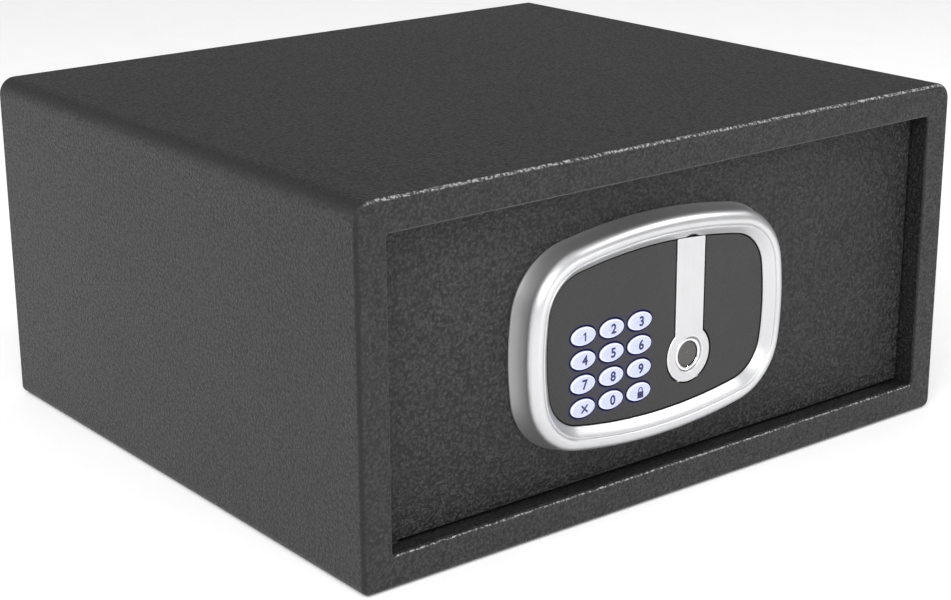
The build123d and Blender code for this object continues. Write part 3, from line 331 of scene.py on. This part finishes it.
def plastic(name, dark, light, rough, grain=1400.0, depth=0.00003, edge=0.0003, **sockets):
    made = Finish(name, **sockets)
    sparks = made.noise(grain, detail=4.0, rough=0.7)
    clouds = made.noise(24.0, detail=4.0)
    tone = made.sum(sparks, clouds, 0.5)
    made.set("Base Color", made.colour(tone, (0.35, dark), (0.65, light)))
    made.set("Roughness", made.spread(tone, *rough, 0.35, 0.65))
    made.relief(sparks, depth, edge=edge)
    return made.material


def silver_paint():
    """Satin silver lacquer on the bezel: fine flakes, and faint handling marks in its gloss."""
    made = Finish("silver_bezel", metallic=0.90)
    flakes = made.cells(3800.0, feature="F1", output="Color")
    level = made.node("ShaderNodeRGBToBW", {"Color": flakes}).outputs["Val"]
    clouds = made.noise(14.0, detail=5.0)
    tone = made.sum(level, clouds, 0.75)
    made.set("Base Color", made.colour(
        tone, (0.30, (0.58, 0.58, 0.59)), (0.70, (0.68, 0.68, 0.69))
    ))
    made.set("Roughness", made.spread(clouds, 0.34, 0.42))
    made.relief(level, 0.000004, 0.5)
    return made.material


def zinc_plate():
    made = Finish("zinc_steel", metallic=1.0)
    spangle = made.cells(140.0, feature="F1", output="Color", warp=0.3)
    level = made.node("ShaderNodeRGBToBW", {"Color": spangle}).outputs["Val"]
    fine = made.noise(600.0, detail=4.0)
    tone = made.sum(level, fine, 0.6)
    made.set("Base Color", made.colour(
        tone, (0.30, (0.42, 0.43, 0.43)), (0.55, (0.56, 0.56, 0.55)), (0.75, (0.68, 0.68, 0.66))
    ))
    made.set("Roughness", made.spread(tone, 0.28, 0.46))
    made.relief(fine, 0.00002, edge=0.0003)
    return made.material


def felt():
    made = Finish("felt", Specular_IOR_Level=0.2, Sheen_Weight=0.35)
    one_way = made.noise(700.0, detail=5.0, rough=0.7, stretch=(1.0, 0.25, 1.0))
    other = made.noise(760.0, detail=5.0, rough=0.7, stretch=(0.25, 1.0, 1.0))
    fibres = made.sum(one_way, other, 0.5)
    made.set("Base Color", made.colour(
        fibres, (0.35, grey(0.012)), (0.52, grey(0.028)), (0.68, grey(0.060))
    ))
    made.set("Roughness", made.spread(fibres, 0.86, 1.0))
    made.relief(fibres, 0.0006)
    return made.material


def circuit_board():
    """Green solder mask over lighter traces."""
    made = Finish("circuit_board", Coat_Weight=0.3)
    traces = made.cells(160.0, feature="DISTANCE_TO_EDGE")
    bands = made.node("ShaderNodeTexWave", {
        "Vector": made.place, "Scale": 95.0, "Distortion": 6.0, "Detail": 2.0, "Detail Scale": 0.6,
    }, bands_direction="Z").outputs["Fac"]
    made.set("Base Color", made.colour(
        made.sum(traces, bands, 0.6),
        (0.18, (0.006, 0.060, 0.022)), (0.50, (0.010, 0.105, 0.038)), (0.62, (0.022, 0.170, 0.062)),
    ))
    made.set("Roughness", made.spread(bands, 0.25, 0.42))
    made.relief(bands, 0.00004)
    return made.material


def battery_wrap():
    """Two-tone sleeve: black, with a copper band towards the positive ends."""
    made = Finish("battery_wrap", metallic=0.35)
    low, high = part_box("batteries")
    along = made.spread(made.axis("X"), 0.0, 1.0, low.x, high.x)
    scuffs = made.noise(160.0, detail=5.0)
    made.set("Base Color", made.colour(
        along, (0.0, (0.55, 0.55, 0.54)), (0.035, (0.020, 0.020, 0.022)),
        (0.66, (0.024, 0.024, 0.026)), (0.68, (0.50, 0.25, 0.10)), (0.955, (0.52, 0.27, 0.12)),
        (0.97, (0.60, 0.60, 0.58)),
    ))
    made.set("Roughness", made.spread(scuffs, 0.22, 0.42))
    made.relief(scuffs, 0.00002)
    return made.material


def backlit(name, shade, glow, strength, gloss=0.4):
    """Translucent key plastic with the keypad's light behind it."""
    made = Finish(name, Specular_IOR_Level=gloss)
    haze = made.noise(420.0, detail=4.0)
    hot = made.noise(160.0, detail=2.0)
    made.set("Base Color", made.colour(haze, (0.3, tuple(c * 0.86 for c in shade)), (0.7, shade)))
    made.set("Emission Color", made.colour(
        made.sum(haze, hot, 0.5), (0.35, tuple(c * 0.88 for c in glow)), (0.65, glow)
    ))
    made.shader.inputs["Emission Strength"].default_value = strength
    made.set("Roughness", made.spread(haze, 0.30, 0.45))
    made.relief(haze, 0.00001)
    return made.material


def panel_film():
    """Dark glossy film over the panel. The keypad's light bleeds faintly through it."""
    made = Finish("panel_film", Specular_IOR_Level=0.42)
    specks = made.noise(2600.0, detail=3.0)
    clouds = made.noise(20.0, detail=4.0)
    tone = made.sum(specks, clouds, 0.5)
    made.set("Base Color", made.colour(tone, (0.35, grey(0.018)), (0.65, grey(0.024))))
    made.set("Roughness", made.spread(tone, 0.24, 0.33, 0.35, 0.65))
    keypad_x, keypad_z = (-0.0815, -0.0179), (0.0564, 0.1148)  # how far the light reaches
    across = made.spread(made.axis("X"), -1.0, 1.0, *keypad_x)
    upward = made.spread(made.axis("Z"), -1.0, 1.0, *keypad_z)
    reach = None
    for part in (across, upward):
        size = made.node("ShaderNodeMath", {0: part, 1: 4.0}, operation="POWER").outputs[0]
        reach = size if reach is None else made.node(
            "ShaderNodeMath", {0: reach, 1: size}, operation="ADD"
        ).outputs[0]
    made.set("Emission Color", made.colour(
        reach, (0.0, (0.001, 0.001, 0.012)), (0.45, (0.001, 0.001, 0.009)), (1.0, (0.0, 0.0, 0.0))
    ))
    made.shader.inputs["Emission Strength"].default_value = 1.0
    made.relief(specks, 0.000003)
    return made.material


def make_finishes():
    long_z = (1.0, 1.0, 0.04)
    long_x = (0.04, 1.0, 1.0)
    made = {
        "powder_coat": powder_coat("powder_coat", 0.0015, 0.00032, 0.003, 0.036, (0.34, 0.52)),
        "door_coat": powder_coat("door_coat", 0.0017, 0.00080, 0.001, 0.056, (0.25, 0.44)),
        "zinc_steel": zinc_plate(),
        "felt": felt(),
        "silver_bezel": silver_paint(),
        "panel_film": panel_film(),
        # cover_satin's rim tone is a painted highlight along the cover's edges
        "cover_satin": metal(
            "cover_satin", (0.66, 0.66, 0.67), (0.34, 0.42), 1500.0, 0.000006, long_z, edge=0.0005,
            share=0.80, rim=(0.95, 0.95, 0.96),
        ),
        "chrome": metal("chrome", (0.88, 0.88, 0.89), (0.08, 0.18), 300.0, 0.000003),
        "dark_lens": plastic(
            "dark_lens", (0.040, 0.038, 0.034), (0.052, 0.049, 0.044), (0.18, 0.30), 900.0, 0.00001,
            Coat_Weight=0.4,
        ),
        "keycap": backlit("keycap", (0.36, 0.38, 0.56), (0.27, 0.29, 0.54), 1.0),
        "key_rim": backlit("key_rim", (0.74, 0.76, 0.80), (0.26, 0.27, 0.34), 1.0),
        "key_print": plastic(
            "key_print", (0.010, 0.011, 0.045), (0.016, 0.018, 0.065), (0.4, 0.55)
        ),
        "key_halo": backlit(
            "key_halo", (0.003, 0.003, 0.02), (0.0015, 0.002, 0.060), 1.0, gloss=0.03
        ),
        # painted shade: a near-black finish laid where gaps and hollows should fall into shadow
        "painted_shade": plastic(
            "painted_shade", grey(0.002), grey(0.004), (0.7, 0.85), Specular_IOR_Level=0.05
        ),
        "silicone": plastic(
            "silicone", (0.020, 0.022, 0.10), (0.030, 0.034, 0.16), (0.55, 0.7), 500.0
        ),
        "black_plastic": plastic(
            "black_plastic", grey(0.016), grey(0.026), (0.46, 0.62), 1100.0, 0.00006
        ),
        "circuit_board": circuit_board(),
        "brass": metal("brass", (0.78, 0.58, 0.27), (0.22, 0.36), 400.0, 0.00001),
        "gear_brass": metal("gear_brass", (0.72, 0.52, 0.24), (0.28, 0.42), 900.0, 0.00001, long_x),
        "nylon": plastic(
            "nylon", (0.66, 0.65, 0.60), (0.76, 0.75, 0.70), (0.40, 0.55), Subsurface_Weight=0.1
        ),
        "rack_steel": metal(
            "rack_steel", (0.56, 0.56, 0.55), (0.24, 0.40), 1800.0, 0.00001, long_x
        ),
        "battery_wrap": battery_wrap(),
        "spring_steel": metal("spring_steel", (0.70, 0.68, 0.62), (0.20, 0.34), 500.0, 0.00001),
        "button_red": plastic(
            "button_red", (0.42, 0.020, 0.016), (0.56, 0.030, 0.024), (0.34, 0.48)
        ),
        "cable": plastic("cable", (0.16, 0.012, 0.010), (0.24, 0.018, 0.014), (0.40, 0.55), 700.0),
        "floor": plastic(
            "floor", grey(0.93), grey(0.96), (0.50, 0.62), 60.0, 0.00002, edge=0.0,
            Specular_IOR_Level=0.1, Emission_Color=(1.0, 1.0, 1.0, 1.0), Emission_Strength=0.20,
        ),
    }
    return made


def dress_nodes():
    """Gives every CAD node its finish; the door's own face takes the coarser coat."""
    for name, node in NODES.items():
        for place in node.material_slots:
            slot = place.material.name.split(".")[0]
            if name == "door_plate":
                slot = "door_coat"
            place.material = FINISH[slot]


# ---------------------------------------------------------------- mesh helpers

def new_piece(name, mesh, body, finishes, replaces=()):
    piece = bpy.data.objects.new(name, mesh)
    bpy.context.scene.collection.objects.link(piece)
    for finish in finishes:
        mesh.materials.append(FINISH[finish])
    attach(piece, body)
    if replaces:
        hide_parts(*replaces)
    return piece


def banded_mesh(name, rings, closed=False, caps=(), finish_of=None):
    """Quads between successive rings of points, which all have the same count."""
    model = bmesh.new()
    rows = [[model.verts.new(point) for point in ring] for ring in rings]
    pairs = list(zip(rows, rows[1:] + (rows[:1] if closed else [])))
    for band, (first, second) in enumerate(pairs):
        for i in range(len(first)):
            j = (i + 1) % len(first)
            face = model.faces.new((first[i], first[j], second[j], second[i]))
            face.smooth = True
            if finish_of:
                face.material_index = finish_of(band)
    for end in caps:
        middle = model.verts.new(sum((v.co for v in rows[end]), Vector()) / len(rows[end]))
        for i in range(len(rows[end])):
            face = model.faces.new((rows[end][i], rows[end][(i + 1) % len(rows[end])], middle))
            face.smooth = True
            if finish_of:
                face.material_index = finish_of(end)
    bmesh.ops.recalc_face_normals(model, faces=model.faces)
    mesh = bpy.data.meshes.new(name)
    model.to_mesh(mesh)
    model.free()
    return mesh


def flat_curve(name, outlines, thickness, rounding=0.0):
    """A flat plate with holes, from closed outlines in its own plane."""
    curve = bpy.data.curves.new(name, "CURVE")
    curve.dimensions = "2D"
    curve.fill_mode = "BOTH"
    curve.extrude = thickness / 2 - rounding
    curve.bevel_depth = rounding
    curve.bevel_resolution = 2
    curve.offset = -rounding
    for outline in outlines:
        spline = curve.splines.new("POLY")
        spline.points.add(len(outline) - 1)
        for point, (x, y) in zip(spline.points, outline):
            point.co = (x, y, 0.0, 1.0)
        spline.use_cyclic_u = True
    return curve


def as_mesh(curve, name, turn):
    holder = bpy.data.objects.new(name, curve)
    bpy.context.scene.collection.objects.link(holder)
    bpy.context.view_layer.update()
    graph = bpy.context.evaluated_depsgraph_get()
    mesh = bpy.data.meshes.new_from_object(holder.evaluated_get(graph))
    bpy.data.objects.remove(holder)
    mesh.transform(turn)
    mesh.name = name
    mesh.materials.clear()
    return mesh


def circle(x, y, radius, count=40):
    return [
        (x + radius * math.cos(math.tau * i / count), y + radius * math.sin(math.tau * i / count))
        for i in range(count)
    ]


def oval(x, z, y, wide, tall, count):
    """Points round an ellipse that faces the front, from millimetres."""
    points = []
    for i in range(count):
        angle = math.tau * i / count
        points.append(Vector((x + wide * math.cos(angle), y, z + tall * math.sin(angle))) * MM)
    return points


# ---------------------------------------------------------------- the bezel

def rim_samples(spacing=0.9):
    """Points round the panel's rim with their outward normals, about `spacing` millimetres apart.

    A quarter of the rim is three arcs that meet smoothly. The rest mirrors it.
    """
    top = Vector((0.0, RIM_H - TOP_ARC))
    side = Vector((RIM_W - SIDE_ARC, 0.0))
    apart = (side - top).length
    reach_top, reach_side = TOP_ARC - CORNER_ARC, SIDE_ARC - CORNER_ARC
    along = (reach_top**2 - reach_side**2 + apart**2) / (2 * apart)
    off = math.sqrt(reach_top**2 - along**2)
    line = (side - top) / apart
    corner = top + line * along + Vector((-line.y, line.x)) * off
    if corner.x < 0:
        corner = top + line * along - Vector((-line.y, line.x)) * off
    turn_side = math.atan2((corner - side).y, (corner - side).x)
    turn_top = math.atan2((corner - top).y, (corner - top).x)
    quarter = []
    for centre, radius, start, end in (
        (side, SIDE_ARC, 0.0, turn_side),
        (corner, CORNER_ARC, turn_side, turn_top),
        (top, TOP_ARC, turn_top, math.pi / 2),
    ):
        steps = max(2, round(radius * (end - start) / spacing))
        for i in range(steps):
            angle = start + (end - start) * i / steps
            normal = Vector((math.cos(angle), math.sin(angle)))
            quarter.append((centre + normal * radius, normal))
    crest = (Vector((0.0, RIM_H)), Vector((0.0, 1.0)))
    right = quarter + [crest]
    left = [(Vector((-p.x, p.y)), Vector((-n.x, n.y))) for p, n in reversed(quarter)]
    upper = right + left
    lower = [(Vector((p.x, -p.y)), Vector((n.x, -n.y))) for p, n in reversed(upper[1:-1])]
    return upper + lower


def bezel_section(sideways):
    """The section as (outward from the rim, behind the cabinet's front).

    It runs up the outer wall, over the crown, down the groove and the lip, and back inside. Its
    foot is wider at the unit's two ends.
    """
    foot, shoulder, crown = 15.2 + 2.0 * sideways, (13.4, 1.5), (8.0, -4.4)
    section = [(foot - 2.6, 10.9), (foot, 10.9), (foot, 10.5), (foot - 0.3, 10.0)]
    section += [((foot + shoulder[0]) / 2 - 0.1, 6.0), (shoulder[0] + 0.15, 2.3)]
    fullness = 2 / 1.7
    for step in range(1, 17):
        angle = math.pi / 2 * step / 16
        section.append((
            crown[0] + (shoulder[0] - crown[0]) * max(math.cos(angle), 0.0) ** fullness,
            shoulder[1] - (shoulder[1] - crown[1]) * math.sin(angle) ** fullness,
        ))
    section += [(7.2, -4.38), (6.6, -4.30), (6.2, -4.12)]
    section += [(6.0, -3.60), (5.75, -3.20), (5.5, -3.30), (5.32, -3.86)]
    section += [(5.05, -4.02), (4.4, -3.56), (3.0, -2.30), (1.8, -1.12), (0.8, -0.16), (0.40, 0.20)]
    section += [(0.16, 0.46), (0.03, 0.80), (0.0, 1.2), (0.0, 3.4), (-2.0, 3.4), (-2.0, 4.9)]
    section += [(1.6, 4.9), (5.4, -1.2), (8.6, -1.7), (10.4, 0.4), (10.9, 3.0), (11.8, 7.0)]
    return section


def rim_mesh(name, section_at):
    """Sweeps a closed section, given for each point and its normal, round the panel's rim."""
    columns = []
    for point, normal in rim_samples():
        column = []
        for out, behind in section_at(point, normal):
            place = point + normal * out
            column.append(Vector((UNIT_X + place.x, FRONT + behind, UNIT_Z + place.y)) * MM)
        columns.append(column)
    return banded_mesh(name, list(zip(*columns)), closed=True)


def notched_section(point, normal):
    """The bezel's section, with the finger notch in its lip above the cover strip."""
    slope = (point.x - NOTCH_X) / NOTCH_HALF
    cut = min(1.0, (1.0 - slope) / 1.5, (1.0 + slope) / 0.5)
    notched = point.y > 0 and abs(slope) < 1.0
    section = []
    for out, behind in bezel_section(normal.x**2):
        if notched and -0.5 <= out < 4.8 and behind < 3.0:
            out = max(out, NOTCH_DEPTH * cut * (1 - out / 6.0))
        section.append((out, behind))
    return section


def make_bezel():
    mesh = rim_mesh("bezel_skin", notched_section)
    new_piece("bezel_skin", mesh, "door", ["silver_bezel"], ["unit_bezel"])


def make_panel_gap_shade():
    """Painted shade: a thin dark ring on the panel along the bezel, standing in for the shadow in
    the gap between them.
    """
    section = [(-0.75, 0.97), (-0.70, 0.90), (-0.10, 0.86), (0.12, 0.86), (0.12, 0.97)]
    mesh = rim_mesh("panel_gap_shade", lambda point, normal: section)
    new_piece("panel_gap_shade", mesh, "door", ["painted_shade"])


def strip_edge(grow, side):
    """One side of the cover strip's outline, moved out by `grow` millimetres, down to its hinge."""
    half, end = STRIP_HALF + grow, STRIP_END + grow
    start, stop = math.pi / 2 - math.asin(half / end), STRIP_HINGE - math.pi / 2
    points = [(STRIP_X + side * half, STRIP_TOP)]
    for i in range(37):
        angle = start + (stop - start) * i / 36
        points.append((STRIP_X + side * end * math.cos(angle), STRIP_END_Z + end * math.sin(angle)))
    return points


def make_strip_gap_shade():
    """Painted shade: a dark line on the film along both sides of the cover strip, standing in for
    the shadow in its clearance gap.
    """
    section = [(0.5, 1.5), (0.5, 0.99), (0.55, 0.95), (1.0, 0.95), (1.1, 1.02), (1.1, 1.5)]
    model = bmesh.new()
    for side in (-1, 1):
        rows = []
        for grow, behind in section:
            line = [Vector((x, FRONT + behind, z)) * MM for x, z in strip_edge(grow, side)]
            rows.append([model.verts.new(point) for point in line])
        for first, second in zip(rows, rows[1:] + rows[:1]):
            for i in range(len(first) - 1):
                model.faces.new((first[i], first[i + 1], second[i + 1], second[i]))
        for end in (0, -1):
            model.faces.new([row[end] for row in rows])
    bmesh.ops.recalc_face_normals(model, faces=model.faces)
    mesh = bpy.data.meshes.new("strip_gap_shade")
    model.to_mesh(mesh)
    model.free()
    new_piece("strip_gap_shade", mesh, "door", ["painted_shade"])


def make_port_ring():
    """The bright ring round the sensor's lens, with a groove outside it; the groove's floor and the
    bore carry painted shade.
    """
    low, high = (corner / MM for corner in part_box("port_ring"))
    x, z = (low.x + high.x) / 2, (low.z + high.z) / 2
    outer, inner = (high.x - low.x) / 2, LENS_RADIUS + 0.15
    front, back = low.y, high.y
    section = [
        (outer, back), (outer, front + 0.30), (outer - 0.20, front + 0.34),
        (outer - 0.50, front + 0.34), (outer - 0.75, front + 0.12), (outer - 1.05, front),
        (inner + 0.85, front), (inner + 0.60, front + 0.06), (inner + 0.15, front + 0.50),
        (inner, front + 0.70), (inner, back),
    ]
    # painted shade on the groove's floor, and on the bore with its edge
    painted_shade_bands = (2, 8, 9)  # the groove's floor, and the bore with its edge
    mesh = banded_mesh(
        "sensor_ring", [oval(x, z, y, radius, radius, 96) for radius, y in section], closed=True,
        finish_of=lambda band: 1 if band in painted_shade_bands else 0,
    )
    new_piece("sensor_ring", mesh, "door", ["chrome", "painted_shade"], ["port_ring"])


# ---------------------------------------------------------------- keys and their marks

def key_places():
    for i, name in enumerate(KEY_NAMES):
        column, row = i % 3, i // 3
        yield name, FIRST_KEY[0] + column * KEY_PITCH[0], FIRST_KEY[1] - row * KEY_PITCH[1]


def key_ring(x, z, y, inset):
    return oval(x, z, y, KEY_W - inset, KEY_H - inset, 72)


def make_key(name, x, z):
    face = PANEL_FACE - KEY_PROUD
    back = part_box(f"key_{name}")[1].y / MM
    section = [
        (0.0, back), (0.0, face + 0.7), (0.06, face + 0.42), (0.22, face + 0.20),
        (0.46, face + 0.06), (0.72, face + 0.02), (0.90, face + 0.08), (1.05, face + 0.12),
        (1.6, face + 0.08), (2.6, face + 0.04), (3.8, face + 0.01), (4.8, face),
    ]
    rings = [key_ring(x, z, y, inset) for inset, y in section]
    rim_bands = range(4)
    mesh = banded_mesh(
        f"cap_{name}", rings, caps=(0, -1), finish_of=lambda band: 0 if band in rim_bands else 1
    )
    new_piece(
        f"cap_{name}", mesh, f"button_{name}", ["key_rim", "keycap"], [f"key_{name}"]
    )


def make_halo(name, x, z):
    """The dark blue line printed on the film round each key."""
    face = PANEL_FACE - 0.05
    section = [
        (-0.10, face + 0.06), (-0.10, face), (-0.25, face - 0.03), (-1.00, face - 0.03),
        (-1.15, face), (-1.15, face + 0.06),
    ]
    rings = [key_ring(x, z, y, inset) for inset, y in section]
    mesh = banded_mesh(f"halo_{name}", rings, closed=True)
    new_piece(f"halo_{name}", mesh, "door", ["key_halo"])


def upright(x, y, z):
    """Turns a flat shape to face the front, with its middle at x, y, z in millimetres."""
    return Matrix.Translation(Vector((x, y, z)) * MM) @ Matrix.Rotation(math.pi / 2, 4, "X")


MARK_THICK = 0.06
DIGIT_SIZE, DIGIT_BOLD = 7.2, 0.22  # size of the type, and how far its strokes are thickened
DIGIT_SQUASH = (1.02, 1.0, 0.25)  # a little wider, and pressed thin
ONE = (
    (-0.36, -2.40), (0.54, -2.40), (0.54, 2.40), (-0.10, 2.40),
    (-1.30, 1.50), (-1.30, 0.70), (-0.36, 1.25),
)


def digit_mesh(name, x, z, face):
    """A digit. The 1 is an outline without a foot. The others are thickened type, pressed thin."""
    if name == "1":
        curve = flat_curve(name, [[(a * MM, b * MM) for a, b in ONE]], MARK_THICK * MM)
        return as_mesh(curve, "mark_1", upright(x, face, z))
    curve = bpy.data.curves.new(name, "FONT")
    curve.body = name
    curve.size = DIGIT_SIZE * MM
    curve.extrude = 0.02 * MM
    curve.bevel_depth = DIGIT_BOLD * MM
    curve.bevel_resolution = 1
    curve.align_x = "CENTER"
    curve.align_y = "CENTER"
    flatten = Matrix.Diagonal((*DIGIT_SQUASH, 1.0))
    return as_mesh(curve, f"mark_{name}", upright(x, face, z) @ flatten)


def cross_outline(reach, half):
    """A diagonal cross, as one outline."""
    arm = [(half, half), (reach, half), (reach, -half), (half, -half)]
    points = []
    for quarter in range(4):
        turn = math.pi / 4 - quarter * math.pi / 2
        for u, v in arm[:3]:
            points.append((
                (u * math.cos(turn) - v * math.sin(turn)) * MM,
                (u * math.sin(turn) + v * math.cos(turn)) * MM,
            ))
    return points


def padlock_outlines():
    """A closed padlock: its outer outline, and the window in its shackle."""
    wide, tall, top = 2.1, 1.75, 0.35  # half width and half height of its body, and the body's top
    far, near = 1.55, 0.95  # outer and inner half width of the shackle
    bend = top + 1.1  # where the shackle starts to curve
    outer, inner = [], []
    for i in range(13):
        angle = math.pi * i / 12
        outer.append((far * math.cos(angle), bend + 1.45 * math.sin(angle)))
        inner.append((near * math.cos(angle), bend + 0.85 * math.sin(angle)))
    lock = [(-wide, top - 2 * tall), (wide, top - 2 * tall), (wide, top), (far, top)]
    lock += outer + [(-far, top), (-wide, top)]
    window = [(-near, top)] + list(reversed(inner)) + [(near, top)]
    return [[(a * MM, b * MM) for a, b in line] for line in (lock, window)]


def make_mark(name, x, z):
    face = PANEL_FACE - KEY_PROUD - 0.02
    if name == "clear":
        curve = flat_curve("mark_clear", [cross_outline(2.9, 0.50)], MARK_THICK * MM)
        mesh = as_mesh(curve, "mark_clear", upright(x, face, z))
    elif name == "lock":
        curve = flat_curve("mark_lock", padlock_outlines(), MARK_THICK * MM)
        mesh = as_mesh(curve, "mark_lock", upright(x, face, z))
    else:
        mesh = digit_mesh(name, x, z, face)
    new_piece(f"mark_{name}", mesh, f"button_{name}", ["key_print"])


def make_keypad():
    for name, x, z in key_places():
        make_key(name, x, z)
        make_halo(name, x, z)
        make_mark(name, x + MARK_SHIFT[0], z + MARK_SHIFT[1])


# ---------------------------------------------------------------- the felt mat

def make_felt_mat():
    low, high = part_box("floor_mat")
    wide, deep = high.x - low.x, high.y - low.y
    middle = (low + high) / 2
    corner = 3.0 * MM
    outline = []
    for turn, (sx, sy) in enumerate(((1, 1), (-1, 1), (-1, -1), (1, -1))):
        for i in range(7):
            angle = math.pi / 2 * (turn + i / 6)
            outline.append((
                sx * (wide / 2 - corner) + corner * math.cos(angle),
                sy * (deep / 2 - corner) + corner * math.sin(angle),
            ))
    hole, hole_x, hole_y = 11.0 * MM, 0.150, 0.110  # radius and places of the four bolt holes
    holes = [
        circle(sx * hole_x, sy * hole_y - middle.y, hole) for sx in (-1, 1) for sy in (-1, 1)
    ]
    thickness = (high.z - low.z) * 0.94
    curve = flat_curve("felt_mat", [outline, *holes], thickness, 0.5 * MM)
    mesh = as_mesh(curve, "felt_mat", Matrix.Translation(middle))
    mat = new_piece("felt_mat", mesh, "cabinet", ["felt"], ["floor_mat"])


# ---------------------------------------------------------------- the whole scene

make_camera()
FINISH = make_finishes()
make_studio()
make_floor()
dress_nodes()
make_bezel()
make_panel_gap_shade()
make_strip_gap_shade()
make_port_ring()
make_keypad()
make_felt_mat()

bpy.context.view_layer.update()
